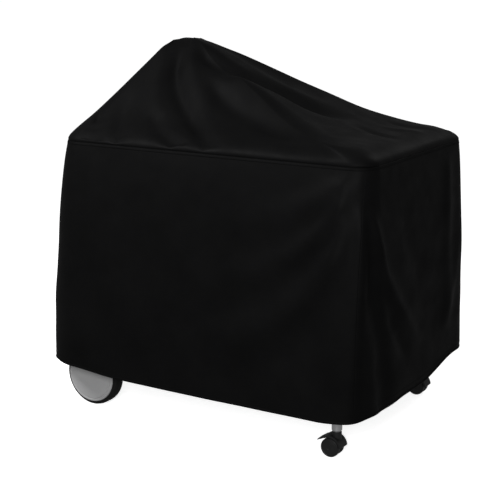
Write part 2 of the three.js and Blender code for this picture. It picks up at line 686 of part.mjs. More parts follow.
// ---- Casters ------------------------------------------------------------------------------------
// A sector of a ring in the XZ plane, drawn about the wheel axle and as wide as the caster.
function hoodArch(width) {
  const [a, b] = [CASTER_HOOD.from, CASTER_HOOD.to].map(THREE.MathUtils.degToRad);
  const shape = new THREE.Shape();
  shape.absarc(0, 0, HOOD_OUTER, a, b, false);
  shape.absarc(0, 0, HOOD_INNER, b, a, true);
  const options = { depth: width, bevelEnabled: false, curveSegments: 6 };
  return new THREE.ExtrudeGeometry(shape, options).translate(0, 0, -width / 2).rotateX(Math.PI / 2);
}

function casterHousing() {
  const width = CASTER_WHEEL_GAP + 2 * CASTER_WHEEL_WIDTH;
  const web = CASTER_WHEEL_GAP - 1;
  const axle = CASTER_WHEEL_R;
  const webLeft = -CASTER_WHEEL_R / 2;
  const webRight = CASTER_TRAIL + 5;
  const webTop = (HOOD_INNER + HOOD_OUTER) / 2;
  const bossFoot = axle + CASTER_WHEEL_R * 0.8;
  const pieces = [
    hoodArch(width).translate(0, 0, axle),
    block([webRight - webLeft, web, webTop], [(webLeft + webRight) / 2, 0, axle + webTop / 2]),
    rod([0, -web / 2, axle], [0, web / 2, axle], CASTER_WEB_HUB_R, 20),
    rod([CASTER_TRAIL, 0, bossFoot], [CASTER_TRAIL, 0, CASTER_TOP_Z], CASTER_BOSS.radius, 20),
  ];
  const wheels = [-1, 1].map((sign) => {
    const y = sign * (CASTER_WHEEL_GAP / 2 + CASTER_WHEEL_WIDTH / 2 + 1);
    const reach = CASTER_WHEEL_WIDTH / 2 + 1.5;
    return rod([0, y - reach, axle], [0, y + reach, axle], HOOD_INNER - 1, 20);
  });
  const axleHole = rod([0, -width, axle], [0, width, axle], CASTER_AXLE_R + GAP, 12);
  return cut(joined(pieces), [...wheels, axleHole]);
}

function casterWheel() {
  const inner = CASTER_WHEEL_GAP / 2;
  const outer = inner + CASTER_WHEEL_WIDTH;
  const bore = CASTER_AXLE_R + RUN;
  const r = CASTER_WHEEL_R;
  return [
    [0, outer - 4],
    [bore, outer - 4],
    [bore, inner],
    [r - 2, inner],
    [r, inner + 2],
    [r, outer - 4],
    [r - 4, outer],
    [0, outer],
  ];
}

function brakeLever() {
  const angle = THREE.MathUtils.degToRad(BRAKE.angle);
  const pivot = [HOOD_OUTER * Math.cos(angle), HOOD_OUTER * Math.sin(angle)];
  const half = BRAKE.width / 2;
  const knuckle = rod([0, -half, 0], [0, half, 0], BRAKE.knuckleR, 14);
  const pedal = block([BRAKE.length, BRAKE.width, BRAKE.thick], [-BRAKE.length / 2, 0, 0]);
  pedal.rotateY(-THREE.MathUtils.degToRad(BRAKE.droop));
  return joined([knuckle, pedal]).translate(pivot[0], 0, CASTER_WHEEL_R + pivot[1]);
}

function addCasters() {
  for (const [place, sign] of [["front", -1], ["back", 1]]) {
    const y = sign * CASTER_Y;
    const put = (geometry) => geometry.translate(CASTER_AXLE_X, y, 0);
    const collarBottom = CASTER_TOP_Z + GAP;
    const collarTop = collarBottom + STEM.collarHeight;
    const collar = rod([CASTER_X, y, collarBottom], [CASTER_X, y, collarTop], STEM.collarR, 20);
    const pin = rod([CASTER_X, y, collarBottom], [CASTER_X, y, collarTop + STEM.length], STEM.radius, 16);
    add(`${place}_caster_stem`, joined([collar, pin]), STEEL);
    add(`${place}_caster_housing`, put(casterHousing()), BLACK_PLASTIC);
    const axleHalf = CASTER_WHEEL_GAP / 2 + CASTER_WHEEL_WIDTH - 4.6;
    const axle = rod([0, -axleHalf, CASTER_WHEEL_R], [0, axleHalf, CASTER_WHEEL_R], CASTER_AXLE_R, 12);
    add(`${place}_caster_axle`, put(axle), STEEL);
    for (const [hand, turn] of [["outer", sign], ["inner", -sign]]) {
      const wheel = mirroredY(turned(casterWheel(), CASTER_SIDES), turn).translate(0, 0, CASTER_WHEEL_R);
      add(`${place}_caster_${hand}_wheel`, put(wheel), BLACK_PLASTIC);
    }
    add(`${place}_caster_brake`, put(brakeLever()), BLACK_PLASTIC);
  }
}

addCover();
addFrame();
addKettle();
addWheels();
addCasters();

export default group;
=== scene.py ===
# %% [markdown]
# # A fitted grill cover on its wheeled cart
# The object is a black coated-cloth cover, pulled down over a kettle grill on a cart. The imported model
# gives the frame, the joints and every place. This lesson builds the fine surfaces round that frame:
# first the camera and the light, then the finishes, then the cloth, and last the cart that comes to
# light when the cover is lifted off.

# %% Load the frame
import math

import bmesh
import bpy
import numpy as np
from mathutils import Matrix, Vector, noise


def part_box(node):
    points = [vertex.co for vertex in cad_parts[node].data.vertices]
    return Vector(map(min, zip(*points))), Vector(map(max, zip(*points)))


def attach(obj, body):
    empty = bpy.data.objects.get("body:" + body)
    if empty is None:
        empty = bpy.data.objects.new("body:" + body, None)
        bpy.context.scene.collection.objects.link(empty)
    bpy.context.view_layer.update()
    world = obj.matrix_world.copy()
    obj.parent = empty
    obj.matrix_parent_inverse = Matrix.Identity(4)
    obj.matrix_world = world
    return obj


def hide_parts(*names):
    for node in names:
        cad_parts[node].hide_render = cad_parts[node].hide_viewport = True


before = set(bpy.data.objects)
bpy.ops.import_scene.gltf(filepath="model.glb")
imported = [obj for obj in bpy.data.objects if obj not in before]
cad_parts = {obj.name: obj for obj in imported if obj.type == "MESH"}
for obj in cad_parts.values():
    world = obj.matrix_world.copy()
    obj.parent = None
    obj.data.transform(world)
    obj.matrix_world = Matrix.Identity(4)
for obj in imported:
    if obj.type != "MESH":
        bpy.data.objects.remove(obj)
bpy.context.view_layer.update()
mm = 0.001

# %% [markdown]
# ## Camera and light
# A long lens keeps the upright edges of a big object nearly parallel. The camera stands to the right of
# the front and a little above the worktop. Depth of field stays off, so that every view is sharp.

# %% The camera
CAMERA_PLACE = Vector((2.0134, -3.4010, 1.4470))
CAMERA_AZIMUTH = math.radians(31.1)
CAMERA_ELEVATION = math.radians(13.26)
FOCAL_LENGTH = 88.3  # millimetres on a 36 mm sensor


def looking(azimuth, elevation):
    """The direction from the object towards a viewer at that azimuth and elevation."""
    return Vector((
        math.sin(azimuth) * math.cos(elevation),
        -math.cos(azimuth) * math.cos(elevation),
        math.sin(elevation),
    ))


camera = bpy.data.objects.new("camera", bpy.data.cameras.new("camera"))
camera.data.lens = FOCAL_LENGTH
camera.data.sensor_width = 36
camera.data.clip_end = 500
camera.location = CAMERA_PLACE
camera.rotation_mode = "QUATERNION"
camera.rotation_quaternion = (-looking(CAMERA_AZIMUTH, CAMERA_ELEVATION)).to_track_quat("-Z", "Y")
bpy.context.scene.collection.objects.link(camera)
bpy.context.scene.camera = camera
print("camera at", [round(v, 3) for v in camera.location])

# %% [markdown]
# The studio is a white sweep: a very large floor that glows a little by itself, as a light table does,
# and an even white surround. On black cloth the form shows only where something bright is mirrored in
# it, so three large soft lights stand round the object: a high one at the front left, a low one at the
# front right, and a weak one behind the right side.

# %% The floor and the lights
FLOOR_REACH = 60.0
FLOOR_GLOW = 0.84
SURROUND = 0.22

floor_mesh = bpy.data.meshes.new("floor")
corners = [(-1, -1), (1, -1), (1, 1), (-1, 1)]
corners = [(x * FLOOR_REACH, y * FLOOR_REACH, -0.5 * mm) for x, y in corners]
floor_mesh.from_pydata(corners, [], [(0, 1, 2, 3)])
floor = bpy.data.objects.new("floor", floor_mesh)
bpy.context.scene.collection.objects.link(floor)
floor_paint = bpy.data.materials.new("pale_floor")
floor_paint.use_nodes = True
floor_shader = floor_paint.node_tree.nodes["Principled BSDF"]
floor_shader.inputs["Base Color"].default_value = (0.90, 0.90, 0.90, 1)
floor_shader.inputs["Roughness"].default_value = 0.9
floor_shader.inputs["Specular IOR Level"].default_value = 0.0
floor_shader.inputs["Emission Color"].default_value = (1, 1, 1, 1)
floor_shader.inputs["Emission Strength"].default_value = FLOOR_GLOW
floor_mesh.materials.append(floor_paint)
floor.visible_diffuse = False  # its glow is for the eye, and must not light the cloth from below
floor.visible_glossy = False

world = bpy.data.worlds.new("studio")
world.use_nodes = True
surround = world.node_tree.nodes["Background"]
surround.inputs["Color"].default_value = (1, 1, 1, 1)
surround.inputs["Strength"].default_value = SURROUND
bpy.context.scene.world = world
bpy.context.scene.view_settings.view_transform = "Standard"

# name, azimuth, elevation, distance, (width, height) in metres, power in watts
SOFT_LIGHTS = [
    ("key_light", -42, 42, 3.6, (0.9, 0.9), 92),
    ("front_light", 26, 15, 4.2, (0.7, 0.9), 92),
    ("back_light", 152, 40, 4.0, (1.2, 1.2), 26),
]
LIT_POINT = Vector((0, 0, 0.7))


def soft_light(name, azimuth, elevation, distance, size, power):
    """A rectangular soft box that faces the middle of the object."""
    lamp = bpy.data.lights.new(name, "AREA")
    lamp.shape = "RECTANGLE"
    lamp.size, lamp.size_y = size
    lamp.energy = power
    away = looking(math.radians(azimuth), math.radians(elevation))
    light = bpy.data.objects.new(name, lamp)
    light.location = LIT_POINT + away * distance
    light.rotation_mode = "QUATERNION"
    light.rotation_quaternion = (-away).to_track_quat("-Z", "Y")
    bpy.context.scene.collection.objects.link(light)


for light_facts in SOFT_LIGHTS:
    soft_light(*light_facts)
print("lights:", [facts[0] for facts in SOFT_LIGHTS])

# %% [markdown]
# ## Finishes
# Every finish is one node tree. A number that is the same all over goes straight on the shader's
# socket. What varies over the surface is worked out from Object coordinates, or from the cloth's own UV
# map, whose unit is a metre.

# %% A small helper for node trees
def new_node(tree, kind, inputs=(), **settings):
    """A node in the tree with its settings, and with each input given a value or joined to a socket."""
    made = tree.nodes.new(kind)
    for key, value in settings.items():
        setattr(made, key, value)
    for socket, value in dict(inputs).items():
        if isinstance(value, bpy.types.NodeSocket):
            tree.links.new(value, made.inputs[socket])
        else:
            made.inputs[socket].default_value = value
    return made


class Finish:
    """A material with its Principled shader, and short ways to add and join nodes."""

    def __init__(self, name, color, roughness, **sockets):
        self.material = bpy.data.materials.new(name)
        self.material.use_nodes = True
        self.material.diffuse_color = (*color, 1)
        self.links = self.material.node_tree.links
        self.shader = self.material.node_tree.nodes["Principled BSDF"]
        self.shader.inputs["Base Color"].default_value = (*color, 1)
        self.shader.inputs["Roughness"].default_value = roughness
        for socket, value in sockets.items():
            self.shader.inputs[socket.replace("_", " ")].default_value = value

    def add(self, kind, inputs=(), **settings):
        return new_node(self.material.node_tree, kind, inputs, **settings)

    def place(self, scale=(1, 1, 1), uv=None):
        """Object coordinates, or the named UV map, stretched by scale."""
        if uv:
            source = self.add("ShaderNodeUVMap", uv_map=uv).outputs["UV"]
        else:
            source = self.add("ShaderNodeTexCoord").outputs["Object"]
        return self.add("ShaderNodeMapping", {"Vector": source, "Scale": scale}).outputs["Vector"]

    def noise(self, vector, scale, detail=3.0, roughness=0.5):
        inputs = {"Vector": vector, "Scale": scale, "Detail": detail, "Roughness": roughness}
        return self.add("ShaderNodeTexNoise", inputs).outputs["Fac"]

    def ranged(self, value, low, high, start=0.3, end=0.7):
        """value, from start to end, carried to low to high."""
        inputs = {"Value": value, "From Min": start, "From Max": end, "To Min": low, "To Max": high}
        return self.add("ShaderNodeMapRange", inputs).outputs["Result"]

    def tinted(self, factor, dark, light):
        """The base colour from dark to light as factor goes from 0 to 1."""
        ramp = self.add("ShaderNodeValToRGB", {"Fac": factor})
        ramp.color_ramp.elements[0].color = (*dark, 1)
        ramp.color_ramp.elements[1].color = (*light, 1)
        self.links.new(ramp.outputs["Color"], self.shader.inputs["Base Color"])

    def rough(self, value):
        self.links.new(value, self.shader.inputs["Roughness"])

    def bump(self, *layers):
        """Bumps on top of each other. Each layer is (height, metres of relief)."""
        under = None
        for height, relief in layers:
            inputs = {"Height": height, "Distance": relief, "Strength": 1.0}
            if under:
                inputs["Normal"] = under
            under = self.add("ShaderNodeBump", inputs).outputs["Normal"]
        self.links.new(under, self.shader.inputs["Normal"])

    def wave(self, vector, scale, direction, distortion=0.0):
        inputs = {"Vector": vector, "Scale": scale, "Distortion": distortion, "Detail": 1.0}
        node = self.add("ShaderNodeTexWave", inputs, bands_direction=direction)
        return node.outputs["Fac"]

    def math(self, operation, a, b=0.0):
        return self.add("ShaderNodeMath", {0: a, 1: b}, operation=operation).outputs["Value"]


# %% [markdown]
# The cover is black polyester with a dull coating on it. A plain weave crosses two sets of threads, so
# the bump takes the higher of two waves, one along each direction of the cut, and fine noise breaks
# their regularity. The coating is not even: broad clouds of it lie a little greyer and rougher, as dust
# and handling leave it.

# %% Coated cloth, tape and thread
WAVES_PER_UNIT = 20 / math.tau  # a Wave texture of scale 1 has this many bands per unit


def woven(name, pitch, relief, dark, light, roughness, **sockets):
    """A plain weave on the piece's own UV map, with threads a pitch apart."""
    cloth = Finish(name, dark, roughness[0], **sockets)
    flat = cloth.place(uv="cloth")
    over = cloth.wave(flat, 1 / (pitch * WAVES_PER_UNIT), "X", 0.3)
    under = cloth.wave(flat, 1 / (pitch * WAVES_PER_UNIT), "Y", 0.3)
    weave = cloth.math("MAXIMUM", over, under)
    clouds = cloth.noise(flat, 5.5, 5.0, 0.6)
    fibre = cloth.noise(flat, 900.0, 2.0)
    cloth.tinted(cloth.ranged(clouds, 0.0, 1.0), dark, light)
    cloth.rough(cloth.ranged(cloth.noise(flat, 14.0, 4.0), *roughness))
    crumple = cloth.noise(flat, 26.0, 4.0, 0.55)
    cloth.bump((crumple, 0.7 * mm), (weave, relief), (fibre, relief * 0.4))
    return cloth.material


CLOTH_DARK, CLOTH_LIGHT = (0.0032, 0.0032, 0.0033), (0.0046, 0.0046, 0.0047)
cover_cloth = woven(
    "coated_cover_cloth", 0.9 * mm, 0.05 * mm, CLOTH_DARK, CLOTH_LIGHT, (0.42, 0.54),
    Specular_IOR_Level=0.022,
)
edge_tape = woven(
    "edge_tape", 1.4 * mm, 0.07 * mm, CLOTH_DARK, CLOTH_LIGHT, (0.46, 0.58), Specular_IOR_Level=0.018,
)


def sewing_thread():
    """Black polyester thread, twisted from finer ones."""
    thread = Finish("sewing_thread", (0.0040, 0.0040, 0.0040), 0.60, Specular_IOR_Level=0.02)
    twist = thread.wave(thread.place(), 1 / (0.5 * mm * WAVES_PER_UNIT), "DIAGONAL", 0.6)
    thread.bump((twist, 0.06 * mm))
    return thread.material


thread_black = sewing_thread()
print("cloth finishes:", cover_cloth.name, edge_tape.name, thread_black.name)

# %% [markdown]
# The metals differ in how they were finished. The frame's tube was brushed along its length, so its
# noise is drawn out along one axis. Plated wire is brighter and smoother, with small dull spots. Enamel
# is glass on steel: black, glossy, with the slight waviness that painters call orange peel. The
# plastics carry a fine spark-eroded grain.

# %% Metals
def brushed(name, color, roughness, stretch, relief=0.02):
    """Bare metal with fine lines along one axis. stretch is small on that axis."""
    metal = Finish(name, color, roughness[0], Metallic=1.0, Specular_IOR_Level=0.5)
    lines = metal.noise(metal.place(stretch), 1.0, 4.0, 0.65)
    stains = metal.noise(metal.place(), 9.0, 4.0)
    dark = tuple(0.82 * c for c in color)
    metal.tinted(metal.ranged(stains, 0.0, 1.0, 0.35, 0.65), dark, color)
    metal.rough(metal.ranged(lines, *roughness))
    metal.bump((lines, relief * mm))
    return metal.material


upright_alloy = brushed("upright_alloy", (0.78, 0.78, 0.79), (0.30, 0.46), (900, 900, 12))
lengthwise_alloy = brushed("lengthwise_alloy", (0.70, 0.70, 0.71), (0.30, 0.46), (12, 900, 900))
crosswise_alloy = brushed("crosswise_alloy", (0.70, 0.70, 0.71), (0.30, 0.46), (900, 12, 900))
plated_wire = brushed("plated_wire", (0.52, 0.52, 0.53), (0.18, 0.32), (160, 160, 160), 0.01)
stem_steel = brushed("stem_steel", (0.46, 0.46, 0.47), (0.24, 0.38), (700, 700, 60), 0.01)
damper_sheet = brushed("damper_sheet", (0.60, 0.60, 0.61), (0.28, 0.42), (60, 800, 800), 0.01)


def enamel():
    """Black glass enamel fired on steel."""
    glaze = Finish(
        "black_enamel", (0.010, 0.010, 0.011), 0.16,
        Specular_IOR_Level=0.5, Coat_Weight=0.6, Coat_Roughness=0.05,
    )
    peel = glaze.noise(glaze.place(), 190.0, 2.0)
    specks = glaze.noise(glaze.place(), 60.0, 5.0, 0.7)
    glaze.rough(glaze.ranged(specks, 0.12, 0.26))
    glaze.bump((peel, 0.10 * mm))
    return glaze.material


black_enamel = enamel()
print("metal finishes ready")


# %% Plastics and rubber
def moulded(name, dark, light, roughness, grain, relief, specular=0.5):
    """Moulded plastic or rubber with an even fine grain and faint clouds of wear."""
    plastic = Finish(name, dark, roughness[0], Specular_IOR_Level=specular)
    skin = plastic.noise(plastic.place(), grain, 2.0)
    wear = plastic.noise(plastic.place(), 24.0, 5.0, 0.6)
    plastic.tinted(plastic.ranged(wear, 0.0, 1.0), dark, light)
    plastic.rough(plastic.ranged(wear, *roughness))
    plastic.bump((skin, relief))
    return plastic.material


black_nylon = moulded(
    "black_nylon", (0.0085, 0.0085, 0.0088), (0.0125, 0.0125, 0.0128), (0.36, 0.50), 1500.0, 0.05 * mm, 0.30,
)
tyre_rubber = moulded(
    "tyre_rubber", (0.0055, 0.0055, 0.0055), (0.0095, 0.0094, 0.0092), (0.66, 0.84), 1100.0, 0.08 * mm, 0.16,
)
hub_plastic = moulded(
    "hub_plastic", (0.375, 0.375, 0.378), (0.405, 0.405, 0.408), (0.42, 0.52), 1300.0, 0.03 * mm, 0.3,
)
table_board = moulded(
    "table_board", (0.075, 0.077, 0.080), (0.098, 0.100, 0.103), (0.46, 0.62), 700.0, 0.12 * mm, 0.4,
)
print("plastics:", black_nylon.name, tyre_rubber.name, hub_plastic.name, table_board.name)

# %% [markdown]
# ## Making and placing a piece
# A finished piece sits at the origin with its place in its mesh. It rides on a body, takes its finish,
# and stands for the plain CAD nodes that it replaces. These helpers say all that once.

# %% Mesh helpers
def new_object(name, mesh):
    piece = bpy.data.objects.new(name, mesh)
    bpy.context.scene.collection.objects.link(piece)
    return piece


def from_bmesh(name, bm, sharp=35):
    """A mesh object from bm: doubles merged, faces pointing out, edges over sharp degrees kept crisp."""
    bmesh.ops.remove_doubles(bm, verts=bm.verts, dist=1e-6)
    bmesh.ops.recalc_face_normals(bm, faces=bm.faces)
    mesh = bpy.data.meshes.new(name)
    bm.to_mesh(mesh)
    bm.free()
    mesh.shade_smooth()
    mesh.set_sharp_from_angle(angle=math.radians(sharp))
    return new_object(name, mesh)


def settle(piece, body, material, slot, *stands_for):
    """Gives a piece its finish, its body and the CAD nodes that it stands for. The slot is not used."""
    piece.data.materials.clear()
    piece.data.materials.append(material)
    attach(piece, body)
    if stands_for:
        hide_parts(*stands_for)
    return piece


def filleted(outline, radius, steps=4):
    """A closed outline with its corners rounded. Corners that lie on the axis, at 0, stay sharp."""
    points = [np.array(p, float) for p in outline]
    rounded = []
    for i, corner in enumerate(points):
        before, after = points[i - 1], points[(i + 1) % len(points)]
        if abs(corner[0]) < 1e-9:
            rounded.append(corner)
            continue
        to_before, to_after = before - corner, after - corner
        reach = min(radius, 0.45 * np.linalg.norm(to_before), 0.45 * np.linalg.norm(to_after))
        start = corner + to_before / np.linalg.norm(to_before) * reach
        end = corner + to_after / np.linalg.norm(to_after) * reach
        for k in range(steps + 1):
            t = k / steps
            rounded.append((1 - t) ** 2 * start + 2 * t * (1 - t) * corner + t * t * end)
    return rounded


AXIS_TURN = {
    "Y": Matrix(((0, 1, 0), (0, 0, 1), (1, 0, 0))),
    "Z": Matrix.Identity(3),
}


def lathed(bm, outline, centre, axis="Z", sides=96, flip=False):
    """Adds a solid of revolution. outline is closed: (radius, distance along the axis) in metres."""
    turn = AXIS_TURN[axis]
    rings = []
    for radius, along in outline:
        along = -along if flip else along
        count = 1 if radius < 1e-9 else sides
        ring = []
        for k in range(count):
            angle = math.tau * k / sides
            local = Vector((radius * math.cos(angle), radius * math.sin(angle), along))
            ring.append(bm.verts.new(turn @ local + Vector(centre)))
        rings.append(ring)
    for i, ring in enumerate(rings):
        other = rings[(i + 1) % len(rings)]
        if len(ring) == 1 and len(other) == 1:
            continue
        for k in range(sides):
            corners = [ring[k % len(ring)], ring[(k + 1) % len(ring)]]
            corners += [other[(k + 1) % len(other)], other[k % len(other)]]
            bm.faces.new(list(dict.fromkeys(corners)))
    return bm


def turned(name, outline, centre, axis="Z", sides=96, flip=False, fillet=0.0, sharp=35):
    shape = filleted(outline, fillet) if fillet else outline
    return from_bmesh(name, lathed(bmesh.new(), shape, centre, axis, sides, flip), sharp)


def swept(bm, path, radius, sides=20):
    """Adds a round bar along a path of points, with flat ends."""
    points = [Vector(p) for p in path]
    normal = None
    rings = []
    for i, point in enumerate(points):
        tangent = (points[min(i + 1, len(points) - 1)] - points[max(i - 1, 0)]).normalized()
        if normal is None:
            normal = tangent.orthogonal().normalized()
        normal = (normal - tangent * normal.dot(tangent)).normalized()
        side = tangent.cross(normal)
        angles = [math.tau * k / sides for k in range(sides)]
        spokes = [normal * math.cos(a) + side * math.sin(a) for a in angles]
        rings.append([bm.verts.new(point + radius * spoke) for spoke in spokes])
    for a, b in zip(rings, rings[1:]):
        for k in range(sides):
            bm.faces.new((a[k], a[(k + 1) % sides], b[(k + 1) % sides], b[k]))
    bm.faces.new(rings[0])
    bm.faces.new(rings[-1])
    return bm


def add_block(bm, low, high, bevel=0.0, steps=3):
    """Adds a box between two corners, with its edges rounded."""
    made = bmesh.ops.create_cube(bm, size=1.0)["verts"]
    low, high = Vector(low), Vector(high)
    for v in made:
        v.co = Vector((l + (h - l) * (c + 0.5) for l, h, c in zip(low, high, v.co)))
    if bevel:
        edges = list({e for v in made for e in v.link_edges})
        bmesh.ops.bevel(bm, geom=edges, offset=bevel, segments=steps, profile=0.5, affect="EDGES")
    return bm


def add_extruded(bm, outline, low, high, axis="Z", bevel=0.0, steps=3):
    """Adds a prism of a flat outline between two levels of the axis."""
    turn = AXIS_TURN[axis]
    foot = [bm.verts.new(turn @ Vector((a, b, low))) for a, b in outline]
    head = [bm.verts.new(turn @ Vector((a, b, high))) for a, b in outline]
    count = len(outline)
    ends = [bm.faces.new(foot), bm.faces.new(head)]
    for k in range(count):
        bm.faces.new((foot[k], foot[(k + 1) % count], head[(k + 1) % count], head[k]))
    if bevel:
        edges = [e for f in ends for e in f.edges]
        bmesh.ops.bevel(bm, geom=edges, offset=bevel, segments=steps, profile=0.5, affect="EDGES")
    return bm


print("helpers ready")

# %% [markdown]
# ## The shape of the cover
# The cover is described by two rings. The seam ring lies at worktop level and the hem ring hangs near
# the floor, and each is a rectangle with round corners. A number w from 0 to 4 runs once round both: 0
# to 1 is the front, then the right, the back and the left. The plain CAD shells follow nearly the same
# formulas, so the cloth lies close to them.

# %% Rings
SEAM_Z, HEM_Z = 0.886, 0.147
SEAM_RING = {"left": -0.541, "right": 0.565, "half": 0.357, "r": 0.070}
HEM_RING = {"left": -0.585, "right": 0.585, "half": 0.437, "r": 0.140}
CORNER_SHARE = 0.3
ALONG = np.array([(1, 0), (0, 1), (-1, 0), (0, -1)], float)
OUT = np.array([(0, -1), (1, 0), (0, 1), (-1, 0)], float)


def ring_point(ring, w):
    """Points of a ring at w, their outward directions, and how far along straight and corner they are."""
    side = np.floor(w).astype(int) % 4
    t = w - np.floor(w)
    half_x = (ring["right"] - ring["left"]) / 2
    lengthwise = side % 2 == 0
    reach = np.where(lengthwise, ring["half"], half_x) - ring["r"]
    straight = np.where(lengthwise, half_x, ring["half"]) - ring["r"]
    angle = (np.minimum(t / CORNER_SHARE - 1, 0) + np.maximum((t - 1) / CORNER_SHARE + 1, 0)) * math.pi / 4
    middle = np.clip((t - CORNER_SHARE) / (1 - 2 * CORNER_SHARE), 0, 1) * 2 - 1
    normal = OUT[side] * np.cos(angle)[..., None] + ALONG[side] * np.sin(angle)[..., None]
    point = OUT[side] * reach[..., None] + ALONG[side] * (straight * middle)[..., None] + normal * ring["r"]
    point[..., 0] += (ring["left"] + ring["right"]) / 2
    return point, normal, middle, angle


# Folds on the skirt are placed by u, metres along the unrolled skirt from the middle of the front.
FRONT_STRAIGHT, SIDE_STRAIGHT, BEND_R = 0.465, 0.292, 0.105
QUARTER_LOOP = FRONT_STRAIGHT + SIDE_STRAIGHT + BEND_R * math.pi / 2
SKIRT_LOOP = 4 * QUARTER_LOOP


def unrolled(w):
    _, _, middle, angle = ring_point(HEM_RING, w)
    side = np.floor(w).astype(int) % 4
    centre = np.array([0, QUARTER_LOOP, 2 * QUARTER_LOOP, -QUARTER_LOOP])[side]
    half_straight = np.where(side % 2 == 0, FRONT_STRAIGHT, SIDE_STRAIGHT)
    return centre + middle * half_straight + angle * BEND_R


print("the skirt is", round(SKIRT_LOOP, 3), "m round at half height")

# %% [markdown]
# ### Folds
# Cloth that is pulled at one point folds along lines that fan out from it. Here the skirt hangs from
# the hard corner of the table, so its ridges run from that corner down and away, with a valley between
# each two. On the top, the cloth hangs from the peak. A fold is a smooth line of a few points with a
# height, which is less than zero for a valley, and a width that may grow. Shaping the folds one by one
# keeps each one where the cloth would be pulled, which a simulation of a whole cover would not, and it
# gives the same cloth every time.

# %% Folds as smooth lines
def smooth_line(points, count=28):
    """A Catmull-Rom line through the points."""
    p = np.array(points, float)
    p = np.vstack([2 * p[0] - p[1], p, 2 * p[-1] - p[-2]])
    t = np.linspace(0, len(points) - 1, count)
    i = np.minimum(t.astype(int), len(points) - 2)
    f = (t - i)[:, None]
    a, b, c, d = p[i], p[i + 1], p[i + 2], p[i + 3]
    curve = (2 * a - 5 * b + 4 * c - d) * f**2 + (3 * b - a - 3 * c + d) * f**3
    return 0.5 * (2 * b + (c - a) * f + curve)


def fold_heights(folds, a, b):
    """The folds' heights at the surface points (a, b), in metres."""
    total = np.zeros(a.shape)
    for points, height, (width_start, width_end), (fade_in, fade_out) in folds:
        line = smooth_line(points)
        nearest = np.full(a.shape, 1e9)
        share = np.zeros(a.shape)
        for k in range(len(line) - 1):
            start, step = line[k], line[k + 1] - line[k]
            along = np.clip(((a - start[0]) * step[0] + (b - start[1]) * step[1]) / (step @ step), 0, 1)
            distance = np.hypot(a - start[0] - along * step[0], b - start[1] - along * step[1])
            closer = distance < nearest
            nearest = np.where(closer, distance, nearest)
            share = np.where(closer, (k + along) / (len(line) - 1), share)
        width = width_start + (width_end - width_start) * share
        rise = np.clip(share / max(fade_in, 1e-6), 0, 1) * np.clip((1 - share) / max(fade_out, 1e-6), 0, 1)
        total += height * np.exp(-((nearest / width) ** 2)) * rise * rise * (3 - 2 * rise)
    return total


def soft_noise(points, size, seed):
    """Smooth unevenness from -1 to 1, with lumps of a given size in metres."""
    flat = points.reshape(-1, 3) / size + seed
    values = [noise.noise(Vector(p)) for p in flat]
    return np.array(values).reshape(points.shape[:-1])


